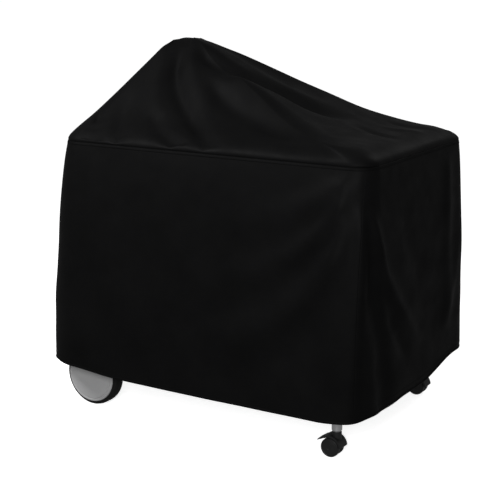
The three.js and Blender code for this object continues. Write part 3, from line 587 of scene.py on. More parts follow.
# (points as (u, z)), height, (width at start, at end), (fade in, fade out as shares of its length)
SKIRT_FOLDS = [
    # The front: three ridges fan out from the table's corner, with valleys between them.
    ([(0.50, 0.87), (0.40, 0.79), (0.26, 0.73), (-0.04, 0.66)], 0.006, (0.024, 0.055), (0.15, 0.55)),
    ([(0.47, 0.80), (0.36, 0.68), (0.18, 0.60), (-0.06, 0.55)], -0.006, (0.022, 0.060), (0.20, 0.55)),
    ([(0.50, 0.84), (0.42, 0.70), (0.28, 0.60), (-0.08, 0.48)], 0.008, (0.022, 0.055), (0.15, 0.50)),
    ([(0.50, 0.73), (0.38, 0.58), (0.22, 0.48), (-0.12, 0.37)], -0.008, (0.024, 0.065), (0.20, 0.50)),
    ([(0.52, 0.75), (0.41, 0.52), (0.22, 0.38), (-0.22, 0.25)], 0.009, (0.024, 0.060), (0.20, 0.50)),
    ([(0.50, 0.58), (0.40, 0.38), (0.22, 0.26), (-0.14, 0.17)], -0.005, (0.034, 0.070), (0.25, 0.50)),
    ([(0.10, 0.80), (-0.20, 0.74), (-0.48, 0.72)], 0.003, (0.060, 0.080), (0.35, 0.35)),
    ([(-0.10, 0.62), (-0.30, 0.52), (-0.50, 0.46)], -0.003, (0.070, 0.090), (0.35, 0.35)),
    ([(-0.20, 0.40), (-0.38, 0.34), (-0.52, 0.32)], 0.003, (0.060, 0.070), (0.35, 0.35)),
    ([(-0.573, 0.56), (-0.575, 0.34), (-0.573, 0.15)], 0.008, (0.045, 0.060), (0.50, 0.0)),
    # The front right corner: a crisp ridge, and a deep valley beside it that opens towards the hem.
    ([(0.540, 0.82), (0.556, 0.60), (0.550, 0.38), (0.544, 0.14)], 0.012, (0.018, 0.030), (0.20, 0.0)),
    ([(0.578, 0.72), (0.602, 0.50), (0.642, 0.34), (0.680, 0.10)], -0.015, (0.013, 0.052), (0.35, 0.12)),
    # The right side: a ridge swings from the corner to the hem, and soft upright ones follow.
    ([(0.573, 0.79), (0.610, 0.67), (0.665, 0.55), (0.79, 0.41), (0.95, 0.26)],
     0.012, (0.016, 0.034), (0.20, 0.30)),
    ([(0.66, 0.48), (0.73, 0.38), (0.85, 0.24)], -0.006, (0.014, 0.026), (0.40, 0.30)),
    ([(0.76, 0.74), (0.86, 0.58), (0.97, 0.50)], -0.004, (0.034, 0.055), (0.30, 0.35)),
    ([(1.13, 0.87), (1.12, 0.58), (1.13, 0.20)], 0.006, (0.028, 0.040), (0.15, 0.25)),
    ([(1.24, 0.64), (1.16, 0.42), (1.04, 0.22)], 0.005, (0.030, 0.040), (0.30, 0.30)),
    # The back and the left: the same pull from each corner, milder.
    ([(1.34, 0.84), (1.44, 0.68), (1.62, 0.52)], 0.007, (0.020, 0.045), (0.20, 0.45)),
    ([(1.34, 0.70), (1.42, 0.50), (1.56, 0.30)], -0.006, (0.022, 0.050), (0.20, 0.45)),
    ([(1.297, 0.86), (1.30, 0.50), (1.29, 0.16)], 0.004, (0.020, 0.030), (0.15, 0.0)),
    ([(-1.34, 0.80), (-1.46, 0.62), (-1.66, 0.48)], 0.007, (0.022, 0.045), (0.20, 0.45)),
    ([(-1.36, 0.60), (-1.46, 0.40), (-1.60, 0.24)], -0.005, (0.025, 0.050), (0.20, 0.45)),
    ([(-1.297, 0.84), (-1.30, 0.50), (-1.285, 0.16)], 0.006, (0.020, 0.032), (0.15, 0.0)),
    ([(-1.20, 0.82), (-1.10, 0.60), (-0.96, 0.34)], 0.006, (0.022, 0.045), (0.20, 0.35)),
    ([(-0.62, 0.82), (-0.72, 0.56), (-0.86, 0.28)], 0.006, (0.020, 0.045), (0.20, 0.35)),
    ([(-0.70, 0.80), (-0.84, 0.60), (-0.98, 0.44)], -0.004, (0.030, 0.050), (0.30, 0.40)),
]

# The same on the top, where a point is (x, y) in plan.
TOP_FOLDS = [
    # The front of the peak: a deep crease sweeps down to the seam, with a ridge on each side of it.
    ([(-0.265, -0.05), (-0.245, -0.12), (-0.20, -0.175), (-0.12, -0.235), (-0.01, -0.315), (0.045, -0.352)],
     -0.017, (0.018, 0.022), (0.20, 0.12)),
    ([(-0.31, -0.06), (-0.30, -0.14), (-0.26, -0.21), (-0.19, -0.28)], 0.007, (0.020, 0.026), (0.25, 0.30)),
    ([(-0.22, -0.06), (-0.18, -0.12), (-0.11, -0.18), (-0.01, -0.25)], 0.007, (0.018, 0.030), (0.25, 0.40)),
    ([(-0.235, -0.235), (-0.19, -0.30), (-0.08, -0.353)], -0.013, (0.014, 0.017), (0.30, 0.05)),
    ([(-0.37, -0.19), (-0.355, -0.26), (-0.335, -0.31), (-0.31, -0.353)],
     -0.012, (0.014, 0.018), (0.35, 0.02)),
    ([(-0.45, -0.25), (-0.424, -0.314), (-0.404, -0.352)], -0.010, (0.012, 0.015), (0.35, 0.02)),
    # The long slope to the right: a hollow under the ridge line, then a soft ridge, then a second hollow.
    ([(-0.225, -0.045), (-0.04, -0.095), (0.10, -0.045), (0.22, -0.024), (0.35, 0.060)],
     -0.026, (0.024, 0.038), (0.10, 0.35)),
    ([(-0.20, 0.010), (-0.02, 0.005), (0.16, 0.030), (0.34, 0.110)], 0.003, (0.022, 0.034), (0.25, 0.35)),
    ([(-0.13, -0.12), (-0.01, -0.19), (0.17, -0.25), (0.38, -0.32)], -0.010, (0.018, 0.032), (0.25, 0.25)),
    ([(-0.10, -0.10), (0.06, -0.15), (0.26, -0.19)], 0.005, (0.030, 0.045), (0.30, 0.40)),
    ([(0.34, -0.02), (0.44, -0.05), (0.53, -0.05)], -0.005, (0.012, 0.016), (0.30, 0.30)),
    ([(0.38, 0.06), (0.46, 0.08), (0.54, 0.14)], 0.004, (0.012, 0.018), (0.30, 0.30)),
    ([(0.36, 0.14), (0.46, 0.17), (0.54, 0.23)], -0.005, (0.014, 0.024), (0.30, 0.30)),
    ([(0.20, 0.30), (0.38, 0.31), (0.53, 0.30)], -0.007, (0.040, 0.050), (0.30, 0.10)),
    ([(0.50, 0.26), (0.53, 0.30), (0.52, 0.34)], -0.006, (0.030, 0.030), (0.20, 0.05)),
    # The peak leans a little to the right, and the left slope is slack and stands full.
    ([(-0.31, 0.00), (-0.28, 0.00), (-0.24, 0.00)], -0.010, (0.050, 0.050), (0.0, 0.0)),
    ([(-0.33, -0.01), (-0.39, -0.04), (-0.50, -0.08)], 0.013, (0.050, 0.055), (0.30, 0.20)),
    ([(-0.27, 0.02), (-0.06, 0.06), (0.20, 0.10)], -0.009, (0.060, 0.080), (0.12, 0.30)),
    # The left and the back.
    ([(-0.34, 0.06), (-0.42, 0.07), (-0.52, 0.10)], -0.006, (0.018, 0.024), (0.30, 0.20)),
    ([(-0.30, 0.08), (-0.31, 0.18), (-0.36, 0.32)], -0.009, (0.018, 0.024), (0.25, 0.15)),
    ([(-0.24, 0.06), (-0.14, 0.16), (0.02, 0.31)], -0.009, (0.018, 0.026), (0.25, 0.15)),
    ([(-0.20, 0.07), (-0.02, 0.13), (0.24, 0.24)], 0.006, (0.026, 0.040), (0.25, 0.40)),
    ([(-0.34, 0.08), (-0.40, 0.20), (-0.46, 0.30)], 0.005, (0.020, 0.030), (0.25, 0.30)),
]
print(len(SKIRT_FOLDS), "folds on the skirt and", len(TOP_FOLDS), "on the top")

# %% [markdown]
# ### The two surfaces
# The skirt flares quickly under the seam and then hangs nearly straight. The top rises over a rounded
# shoulder, then follows a rounded tent from the seam to the peak. A groove a few millimetres wide marks
# where the two are sewn.

# %% Skirt and top as formulas
FLARE_SHARE, FLARE_POWER = 0.67, 3.7
PEAK_X, PEAK_Z = -0.283, 1.2113
SHOULDER_RISE, SHOULDER_WIDTH = 0.043, 0.084
SHOULDER_LEFT = 0.70  # the shoulder is smaller at the left, where the slope runs on almost to the seam
TENT_POWER_LEFT, TENT_POWER_RIGHT = 0.97, 1.36
PEAK_ROUNDING, TENT_BLEND = 0.117, 0.040
SEAM_GROOVE = {"depth": 0.0011, "reach": 0.0026}
PINNED_UNDER_SEAM, PINNED_OVER_SEAM = 0.050, 0.018  # folds fade out within this height of the seam
LUMP_SIZE, LUMP_HEIGHT = 0.11, 0.0016


def groove(distance):
    """How far the cloth is drawn in, at a distance from the seam."""
    return -SEAM_GROOVE["depth"] * np.exp(-((distance / SEAM_GROOVE["reach"]) ** 2))


# The hem is not quite level: it is drawn up where cloth gathers at a corner. (u, width, rise) in metres.
HEM_RISES = [
    (-0.50, 0.140, 0.014), (0.05, 0.300, -0.002), (0.60, 0.060, 0.007), (0.80, 0.110, 0.009),
    (1.20, 0.180, 0.040),
]
HEM_RISE_POWER = 5  # the rise is felt in the lowest part of the skirt only


def hem_rise(w):
    """How far the hem is drawn up at w."""
    u = unrolled(w)
    return sum(rise * np.exp(-(((u - at) / width) ** 2)) for at, width, rise in HEM_RISES)


def skirt_surface(w, z, lift=0.0):
    """Points of the skirt's outer face at w and height z, moved out by lift."""
    w, z = np.broadcast_arrays(np.asarray(w, float), np.asarray(z, float))
    s = (SEAM_Z - z) / (SEAM_Z - HEM_Z)
    flare = FLARE_SHARE * (1 - np.maximum(1 - s, 0) ** FLARE_POWER) + (1 - FLARE_SHARE) * s
    seam, normal, _, _ = ring_point(SEAM_RING, w)
    hem, _, _, _ = ring_point(HEM_RING, w)
    plan = seam + (hem - seam) * flare[..., None]
    drawn_up = z + hem_rise(w) * np.clip(s, 0, 1) ** HEM_RISE_POWER
    base = np.concatenate([plan, drawn_up[..., None]], axis=-1)
    pinned = np.clip((SEAM_Z - z) / PINNED_UNDER_SEAM, 0, 1)
    wrinkles = fold_heights(SKIRT_FOLDS, unrolled(w), z) + LUMP_HEIGHT * soft_noise(base, LUMP_SIZE, 3.7)
    out = wrinkles * pinned * pinned * (3 - 2 * pinned) + groove(SEAM_Z - z) + lift
    base[..., :2] += normal * out[..., None]
    return base


def tent_height(seam, normal, rho):
    """Height of the smooth top, rho of the way from the peak to a seam point."""
    dx, dy = seam[..., 0] - PEAK_X, seam[..., 1]
    edge = dx * normal[..., 0] + dy * normal[..., 1]
    lean = (dx / np.hypot(dx, dy) + 1) / 2
    power = TENT_POWER_LEFT + (TENT_POWER_RIGHT - TENT_POWER_LEFT) * lean
    fullness = SHOULDER_LEFT + (1 - SHOULDER_LEFT) * lean
    q = np.clip(1 - (1 - rho) * edge / (SHOULDER_WIDTH * fullness), 0, 1)
    table = SEAM_Z + SHOULDER_RISE * fullness * np.sqrt(1 - q * q)
    span = math.hypot(1, PEAK_ROUNDING)
    climb = (span - np.hypot(rho, PEAK_ROUNDING)) / (span - PEAK_ROUNDING)
    tent = SEAM_Z + (PEAK_Z - SEAM_Z) * np.maximum(climb, 0) ** power
    soft = TENT_BLEND * np.tanh((1 - rho) * 8)
    return (tent + table + np.hypot(tent - table, soft)) / 2


def top_surface(w, rho):
    """Points of the top panel's outer face."""
    w, rho = np.broadcast_arrays(np.asarray(w, float), np.asarray(rho, float))
    seam, normal, _, _ = ring_point(SEAM_RING, w)
    x = PEAK_X + (seam[..., 0] - PEAK_X) * rho
    y = seam[..., 1] * rho
    z = tent_height(seam, normal, rho)
    base = np.stack([x, y, z], axis=-1)
    pinned = np.clip((z - SEAM_Z) / PINNED_OVER_SEAM, 0, 1)
    wrinkles = fold_heights(TOP_FOLDS, x, y) + LUMP_HEIGHT * soft_noise(base, LUMP_SIZE, 9.1)
    base[..., 2] += wrinkles * pinned * pinned * (3 - 2 * pinned)
    base[..., :2] += normal * groove(z - SEAM_Z)[..., None]
    return base


print("peak at", np.round(top_surface(0.5, 0.0), 3))

# %% [markdown]
# ### Cutting the cloth
# Each panel is a grid laid on its formula, and it carries a UV map named cloth, in metres, which its
# weave follows. The grids are fine enough, about 7 mm, for the folds to shade smoothly. Solidify gives
# the cloth its real 0.8 mm.

# %% The five panels
CLOTH_THICKNESS = 0.0008
PANEL_COLUMNS, PANEL_ROWS = 168, 110
TOP_COLUMNS, TOP_RINGS = 320, 84


def grid_object(name, points, flat, wrapped=False):
    """A sheet through a grid of points, with a UV map in metres; wrapped closes it into a loop."""
    rows, columns = points.shape[:2]
    index = np.arange(rows * columns).reshape(rows, columns)
    right = np.roll(index, -1, axis=1)
    if not wrapped:
        index_a, index_b = index[:, :-1], right[:, :-1]
    else:
        index_a, index_b = index, right
    faces = np.stack([index_a[:-1], index_b[:-1], index_b[1:], index_a[1:]], axis=-1).reshape(-1, 4)
    mesh = bpy.data.meshes.new(name)
    mesh.from_pydata(points.reshape(-1, 3).tolist(), [], faces.tolist())
    layer = mesh.uv_layers.new(name="cloth")
    loops = np.zeros(len(mesh.loops), np.int64)
    mesh.loops.foreach_get("vertex_index", loops)
    layer.data.foreach_set("uv", flat.reshape(-1, 2)[loops].astype(np.float32).ravel())
    mesh.shade_smooth()
    return new_object(name, mesh)


def facing_out(piece, outward):
    """Turns the sheet's faces to look along outward, a direction at its middle face."""
    middle = piece.data.polygons[len(piece.data.polygons) // 2]
    if middle.normal.dot(Vector(outward)) < 0:
        piece.data.flip_normals()


def thickened(piece, thickness=CLOTH_THICKNESS):
    """Cloth of a real thickness, inside the sheet's face."""
    wall = piece.modifiers.new("cloth_thickness", "SOLIDIFY")
    wall.thickness = thickness
    wall.offset = -1
    wall.use_even_offset = False
    return piece


def sheet_area(piece):
    return sum(face.area for face in piece.data.polygons)


SIDES = [("front", (0, -1, 0)), ("right", (1, 0, 0)), ("back", (0, 1, 0)), ("left", (-1, 0, 0))]
panels = {}
for side, (where, outward) in enumerate(SIDES):
    w = side + np.linspace(0, 1 - 1e-9, PANEL_COLUMNS + 1)[None, :]
    depth = np.linspace(0, 1, PANEL_ROWS + 1)[:, None] ** 1.2
    z = SEAM_Z - (SEAM_Z - HEM_Z) * depth
    points = skirt_surface(w, z)
    flat = np.stack(np.broadcast_arrays(unrolled(w), z), axis=-1)
    panel = grid_object(where + "_skirt_cloth", points, flat)
    facing_out(panel, outward)
    panels[where] = panel
    print(panel.name, round(sheet_area(panel), 3), "m2")

w = np.arange(TOP_COLUMNS)[None, :] * 4 / TOP_COLUMNS
rho = np.sin(np.linspace(1, TOP_RINGS, TOP_RINGS)[:, None] / TOP_RINGS * math.pi / 2)
points = top_surface(w, rho)
top_cloth = grid_object("top_cloth", points, points[..., :2].copy(), wrapped=True)
bm = bmesh.new()
bm.from_mesh(top_cloth.data)
cloth_uv = bm.loops.layers.uv["cloth"]
inner_ring = list(bm.verts)[:TOP_COLUMNS]
peak = bm.verts.new(top_surface(0.5, 0.0))
for k in range(TOP_COLUMNS):
    face = bm.faces.new((inner_ring[k], inner_ring[(k + 1) % TOP_COLUMNS], peak))
    face.smooth = True
    for loop in face.loops:
        loop[cloth_uv].uv = loop.vert.co.xy
bmesh.ops.recalc_face_normals(bm, faces=bm.faces)
bm.to_mesh(top_cloth.data)
bm.free()
facing_out(top_cloth, (0, 0, 1))
print(top_cloth.name, round(sheet_area(top_cloth), 3), "m2")

# %% [markdown]
# ## Sewing the cover together
# The panels are cloth that was cut flat and then hung. A cover of this kind hangs from the
# table's edge and the kettle's handle. The top's flat size is its length and width over the peak. The
# skirt's are generous rectangles: about 65 mm wider and 20 to 40 mm higher than the panels themselves.

# %% The panels take their places
PANEL_FLAT = {"front": (1.18, 0.775), "right": (0.885, 0.775), "back": (1.18, 0.775), "left": (0.885, 0.785)}


def cloth_piece(piece, flat, held, hangs_from, finish, slot, *nodes, **extra):
    """Settles a sheet of the cover and prints its flat size."""
    settle(piece, "cover", finish, slot, *nodes)
    print(piece.name, "flat", flat)


for where, panel in panels.items():
    thickened(panel)
    node_name = "cover_" + where + "_panel"
    area = min(sheet_area(panel), PANEL_FLAT[where][0] * PANEL_FLAT[where][1])
    cloth_piece(
        panel, PANEL_FLAT[where], "hung", ["top_cloth"], cover_cloth, "cover_fabric", node_name, area=area,
    )
thickened(top_cloth)
cloth_piece(
    top_cloth, (1.34, 0.98), "draped", ["lid_handle_grip", "table_slab"], cover_cloth, "cover_fabric",
    "cover_top_panel", area=sheet_area(top_cloth),
)

# %% [markdown]
# The top and the skirt meet in a flat-felled seam: the two edges are folded into each other and sewn
# down as a band 10 mm high. The hem is bound with a tape folded over the raw edge, with a short leg
# outside and a long one inside. Each corner join is taped on the inside, which keeps rain out and
# leaves no line on the face.

# %% Tapes that follow the skirt
LOOP_POINTS = 520
LOOP = np.linspace(0, 4 - 1e-9, LOOP_POINTS)
FELL = {
    "top": 0.8856, "bottom": 0.8760, "lift": 0.0005, "edge": 0.0012, "between": (0.8830, 0.8800),
    "stitched": (0.8838, 0.8776), "thickness": 0.0004,
}
HEM_TAPE = {"outer": 0.0065, "inner": 0.028, "front": 0.0007, "behind": -0.0015, "thickness": 0.0006}
INNER_TAPE_WIDTH, INNER_TAPE_LIFT, INNER_TAPE_THICKNESS = 0.026, -0.0009, 0.0005


def along_loop(w):
    """Metres along the skirt's loop, which only grow with w."""
    u = unrolled(w)
    return np.where(w >= 3, u + SKIRT_LOOP, u)


def tape(name, w, section, thickness):
    """A tape through the points (height, lift off the skirt's face) of its section, run along w."""
    rows = [skirt_surface(w, np.full_like(w, z), lift) for z, lift in section]
    steps = [0.0] + [math.dist(a, b) for a, b in zip(section, section[1:])]
    flat = [np.stack([along_loop(w), np.full_like(w, across)], axis=-1) for across in np.cumsum(steps)]
    strip = grid_object(name, np.stack(rows), np.stack(flat))
    return thickened(strip, thickness)


seam_band = tape(
    "seam_band", LOOP,
    [(FELL["top"], 0.0001), (FELL["top"] - FELL["edge"], FELL["lift"]),
     *((z, FELL["lift"]) for z in FELL["between"]),
     (FELL["bottom"] + FELL["edge"], FELL["lift"]), (FELL["bottom"], -0.0001)],
    FELL["thickness"],
)
facing_out(seam_band, (0, 1, 0))
hem_bottom = HEM_Z - 0.0008
hem_tape = tape(
    "hem_tape", LOOP,
    [(HEM_Z + HEM_TAPE["outer"], 0.0002), (HEM_Z + HEM_TAPE["outer"] - 0.0005, HEM_TAPE["front"]),
     (HEM_Z + 0.0003, HEM_TAPE["front"]), (hem_bottom, 0.0001), (hem_bottom, -0.0010),
     (HEM_Z + 0.0003, HEM_TAPE["behind"]), (HEM_Z + 0.014, HEM_TAPE["behind"]),
     (HEM_Z + HEM_TAPE["inner"], HEM_TAPE["behind"])],
    HEM_TAPE["thickness"],
)
cloth_piece(seam_band, (3.55, 0.0125), "laid", ["top_cloth"], edge_tape, "cover_binding", "cover_top_seam")
cloth_piece(
    hem_tape, (3.83, 0.0365), "folded", ["front_skirt_cloth"], edge_tape, "cover_binding",
    "cover_hem_binding",
)

half_tape = INNER_TAPE_WIDTH / 2 / (BEND_R * math.pi / 4 / CORNER_SHARE)
for corner, (tape_name, near) in enumerate([
    ("cover_front_right_tape", "front"), ("cover_right_back_tape", "right"),
    ("cover_back_left_tape", "back"), ("cover_left_front_tape", "left"),
], start=1):
    across = corner + np.linspace(-half_tape, half_tape, 9)
    heights = np.linspace(SEAM_Z - 0.002, HEM_Z + HEM_TAPE["inner"] + 0.001, 90)
    points = skirt_surface(across[None, :] % 4, heights[:, None], INNER_TAPE_LIFT)
    width = np.linspace(0, INNER_TAPE_WIDTH, 9)
    flat = np.stack(np.broadcast_arrays(width[None, :], heights[:, None]), axis=-1)
    inner_tape = grid_object("inner_tape_" + near, points, flat)
    facing_out(inner_tape, OUT[corner - 1].tolist() + [0.0])
    thickened(inner_tape, INNER_TAPE_THICKNESS)
    cloth_piece(
        inner_tape, (INNER_TAPE_WIDTH, 0.72), "laid", [near + "_skirt_cloth"], edge_tape, "cover_binding",
        tape_name,
    )

# %% [markdown]
# ### Stitches
# Thousands of stitches follow the seam and the hem. Geometry Nodes turn a line of the mesh into a
# curve, put a point every stitch length, and set one small thread loop along the tangent at each point.
# One tree serves all rows.

# %% A tree that sews along a line
def new_tree(name, *inputs):
    """A Geometry Nodes tree with a geometry input and output, and the named inputs (name, kind, default)."""
    tree = bpy.data.node_groups.new(name, "GeometryNodeTree")
    tree.is_modifier = True
    tree.interface.new_socket("Geometry", in_out="INPUT", socket_type="NodeSocketGeometry")
    for label, kind, default in inputs:
        socket = tree.interface.new_socket(label, in_out="INPUT", socket_type="NodeSocket" + kind)
        if default is not None:
            socket.default_value = default
    tree.interface.new_socket("Geometry", in_out="OUTPUT", socket_type="NodeSocketGeometry")
    source = tree.nodes.new("NodeGroupInput")
    sink = tree.nodes.new("NodeGroupOutput")

    def node(kind, inputs=(), **settings):
        return new_node(tree, kind, inputs, **settings)

    def worked_out(operation, *terms):
        return node("ShaderNodeMath", enumerate(terms), operation=operation).outputs[0]

    def finish(geometry):
        whole = node("GeometryNodeRealizeInstances", {"Geometry": geometry}).outputs[0]
        painted = node(
            "GeometryNodeSetMaterial", {"Geometry": whole, "Material": source.outputs["Material"]},
        )
        tree.links.new(painted.outputs[0], sink.inputs["Geometry"])

    return tree, source.outputs, node, worked_out, finish


def grown(name, start, tree, **values):
    """The mesh that the tree makes from the mesh object start, as a plain object with no modifier."""
    seed = start if start else new_object(name + "_start", bpy.data.meshes.new(name + "_start"))
    maker = seed.modifiers.new("maker", "NODES")
    maker.node_group = tree
    for item in tree.interface.items_tree:
        if item.in_out == "INPUT" and item.name.replace(" ", "_") in values:
            maker[item.identifier] = values[item.name.replace(" ", "_")]
    seen = seed.evaluated_get(bpy.context.evaluated_depsgraph_get())
    mesh = bpy.data.meshes.new_from_object(seen)
    mesh.name = name
    seed.modifiers.remove(maker)
    bpy.data.objects.remove(seed)
    piece = new_object(name, mesh)
    print(name, len(mesh.polygons), "faces")
    return piece


sew, given, node, worked_out, finish = new_tree(
    "sew_along_line", ("Stitch Length", "Float", 4.4 * mm), ("Thread", "Float", 0.55 * mm),
    ("Material", "Material", None),
)
line = node("GeometryNodeMeshToCurve", {"Mesh": given["Geometry"]}).outputs[0]
spaced = node("GeometryNodeResampleCurve", {"Curve": line, "Length": given["Stitch Length"]}, mode="LENGTH")
loop = node("GeometryNodeMeshUVSphere", {"Segments": 6, "Rings": 4, "Radius": 1.0})
tangent = node("GeometryNodeInputTangent").outputs[0]
along = node("FunctionNodeAlignEulerToVector", {"Vector": tangent}, axis="X")
half_length = worked_out("MULTIPLY", given["Stitch Length"], 0.40)
shape = node(
    "ShaderNodeCombineXYZ", {"X": half_length, "Y": given["Thread"], "Z": given["Thread"]},
).outputs[0]
rows_of_loops = node(
    "GeometryNodeInstanceOnPoints",
    {"Points": spaced.outputs[0], "Instance": loop.outputs[0], "Rotation": along.outputs[0],
     "Scale": shape},
).outputs[0]
finish(rows_of_loops)


def stitch_row(name, *lines):
    """One row of stitches along each line of points."""
    mesh = bpy.data.meshes.new(name + "_line")
    points, edges = [], []
    for line_points in lines:
        first = len(points)
        points += [tuple(p) for p in line_points]
        edges += [(first + k, first + k + 1) for k in range(len(line_points) - 1)]
    mesh.from_pydata(points, edges, [])
    piece = grown(name, new_object(name + "_line", mesh), sew, Material=thread_black)
    piece.data.shade_smooth()
    settle(piece, "cover", thread_black, "cover_binding")
    return piece


fell_rows = [skirt_surface(LOOP, np.full_like(LOOP, z), FELL["lift"] + 0.0001) for z in FELL["stitched"]]
stitch_row("seam_stitches", *fell_rows)
hem_row = skirt_surface(LOOP, np.full_like(LOOP, HEM_Z + 0.0045), 0.0008)
inner_hem_row = skirt_surface(LOOP, np.full_like(LOOP, HEM_Z + 0.024), 0.0001)
stitch_row("hem_stitches", hem_row, inner_hem_row)

# %% [markdown]
# ## The big wheels
# Each wheel is a rubber tyre on a moulded rim, with a flat cap that snaps over the rim's edge. They are
# solids of revolution, so each is a closed outline of radius and distance, turned about the axle. The
# outlines get rounded corners, because an edge that catches a thin line of light is what makes a
# moulding look real.

# %% Tyre, hub cap and rim
WHEEL_X, WHEEL_Z = -0.447, 0.1015
WHEEL_Y = 0.323

TYRE_OUTLINE = [
    (0.0785, -0.0190), (0.0830, -0.0208), (0.0900, -0.0218), (0.0962, -0.0212), (0.1000, -0.0182),
    (0.1013, -0.0120), (0.1015, -0.0086), (0.1005, -0.0078), (0.1005, -0.0062), (0.1015, -0.0054),
    (0.1015, 0.0054), (0.1005, 0.0062), (0.1005, 0.0078), (0.1015, 0.0086), (0.1013, 0.0120),
    (0.1000, 0.0182), (0.0962, 0.0212), (0.0900, 0.0218), (0.0830, 0.0208), (0.0785, 0.0190),
]
CAP_OUTLINE = [
    (0.0, 0.0252), (0.0692, 0.0252), (0.0692, 0.0185), (0.0742, 0.0185), (0.0742, 0.0220), (0.0884, 0.0220),
    (0.0886, 0.0250), (0.0868, 0.0282), (0.0828, 0.0289), (0.0812, 0.0286), (0.0804, 0.0273),
    (0.0790, 0.0273), (0.0782, 0.0286), (0.0768, 0.0289), (0.0, 0.0289),
]
RIM_OUTLINE = [
    (0.0065, -0.018), (0.026, -0.018), (0.030, -0.005), (0.0682, -0.005), (0.0702, -0.018), (0.0782, -0.018),
    (0.0782, 0.018), (0.0702, 0.018), (0.0682, 0.005), (0.0065, 0.005),
]

# %% [markdown]
# The rim's two sides are stiffened with ribs from the hub to the rim. They repeat round the axle, so a
# tree copies one rib to as many places as it is told, each turned by an equal share of the circle.

# %% A tree that repeats a shape round the Y axis
ring_of, given, node, worked_out, finish = new_tree(
    "ring_of_copies", ("Count", "Int", 12), ("Material", "Material", None),
)
places = node("GeometryNodeMeshLine", {"Count": given["Count"], "Offset": (0, 0, 0)}).outputs[0]
share = worked_out("DIVIDE", math.tau, given["Count"])
turn = worked_out("MULTIPLY", node("GeometryNodeInputIndex").outputs[0], share)
turned_by = node("ShaderNodeCombineXYZ", {"Y": turn}).outputs[0]
copies = node(
    "GeometryNodeInstanceOnPoints",
    {"Points": places, "Instance": given["Geometry"], "Rotation": turned_by},
).outputs[0]
finish(copies)


def moved(piece, offset):
    piece.data.transform(Matrix.Translation(Vector(offset)))
    return piece


for place, sign in (("front", -1), ("back", 1)):
    body = place + "_wheel"
    centre = (WHEEL_X, sign * WHEEL_Y, WHEEL_Z)
    tyre = turned(place + "_tyre", TYRE_OUTLINE, centre, "Y", 128, sign < 0, fillet=0.0012, sharp=50)
    settle(tyre, body, tyre_rubber, "tyre_rubber", body + "_tyre")
    cap = turned(place + "_wheel_cap", CAP_OUTLINE, centre, "Y", 128, sign < 0, fillet=0.0009, sharp=40)
    settle(cap, body, hub_plastic, "hub_cap_plastic", body + "_hub_cap")
    rim = turned(place + "_wheel_disc", RIM_OUTLINE, centre, "Y", 96, sign < 0, fillet=0.0010, sharp=40)
    settle(rim, body, black_nylon, "black_plastic", body + "_rim")
    rib = bmesh.new()
    for low_y, high_y in ((-0.0165, -0.0045), (0.0045, 0.0165)):
        add_block(rib, (0.022, low_y, -0.0016), (0.0706, high_y, 0.0016), 0.0006, 2)
    ribs = grown(place + "_wheel_ribs", from_bmesh("rib", rib), ring_of, Count=12, Material=black_nylon)
    settle(moved(ribs, centre), body, black_nylon, "black_plastic")

AXLE_OUTLINE = [
    (0.0, -0.337), (0.0048, -0.337), (0.006, -0.3358), (0.006, 0.3358), (0.0048, 0.337), (0.0, 0.337),
]
axle = turned("big_wheel_axle", AXLE_OUTLINE, (WHEEL_X, 0, WHEEL_Z), "Y", 40)
settle(axle, "cart", plated_wire, "steel_bar", "wheel_axle")

# %% [markdown]
# ## The casters
# A twin-wheel caster has a nylon housing: a boss that turns on the stem, a thin web between the two
# wheels, and a hood over them. The housing is one moulding, so its parts are joined, and the room for
# the wheels is cut away, with Boolean modifiers. The lever at the hood's left brakes the caster.

# %% Joining and cutting
def combined(base, tool, operation):
    """base joined with tool, or cut by it. The tool is used up."""
    step = base.modifiers.new("combine", "BOOLEAN")
    step.object, step.operation, step.solver = tool, operation, "EXACT"
    seen = base.evaluated_get(bpy.context.evaluated_depsgraph_get())
    mesh = bpy.data.meshes.new_from_object(seen)
    base.modifiers.remove(step)
    base.data = mesh
    bpy.data.objects.remove(tool)
    return base


def smoothed(piece, angle=35):
    piece.data.shade_smooth()
    piece.data.set_sharp_from_angle(angle=math.radians(angle))
    return piece


CASTER_X, CASTER_Y, TRAIL = 0.457, 0.318, 0.014
SMALL_WHEEL_R, WEB_HALF = 0.030, 0.0045
HOOD = {"inner": 0.0325, "outer": 0.0385, "from": 6, "to": 121, "half_width": 0.023}


def rod(name, start, length, radius, axis, sides=48):
    """A plain round rod, used for cutting and joining."""
    outline = [(0.0, 0.0), (radius, 0.0), (radius, length), (0.0, length)]
    return turned(name, outline, start, axis, sides)


def hood_outline(steps=28):
    """The hood's sector of a ring, as (height, distance along X) from the wheel axle."""
    angles = np.radians(np.linspace(HOOD["from"], HOOD["to"], steps))
    outer = [(HOOD["outer"] * math.sin(a), HOOD["outer"] * math.cos(a)) for a in angles]
    inner = [(HOOD["inner"] * math.sin(a), HOOD["inner"] * math.cos(a)) for a in angles[::-1]]
    return outer + inner


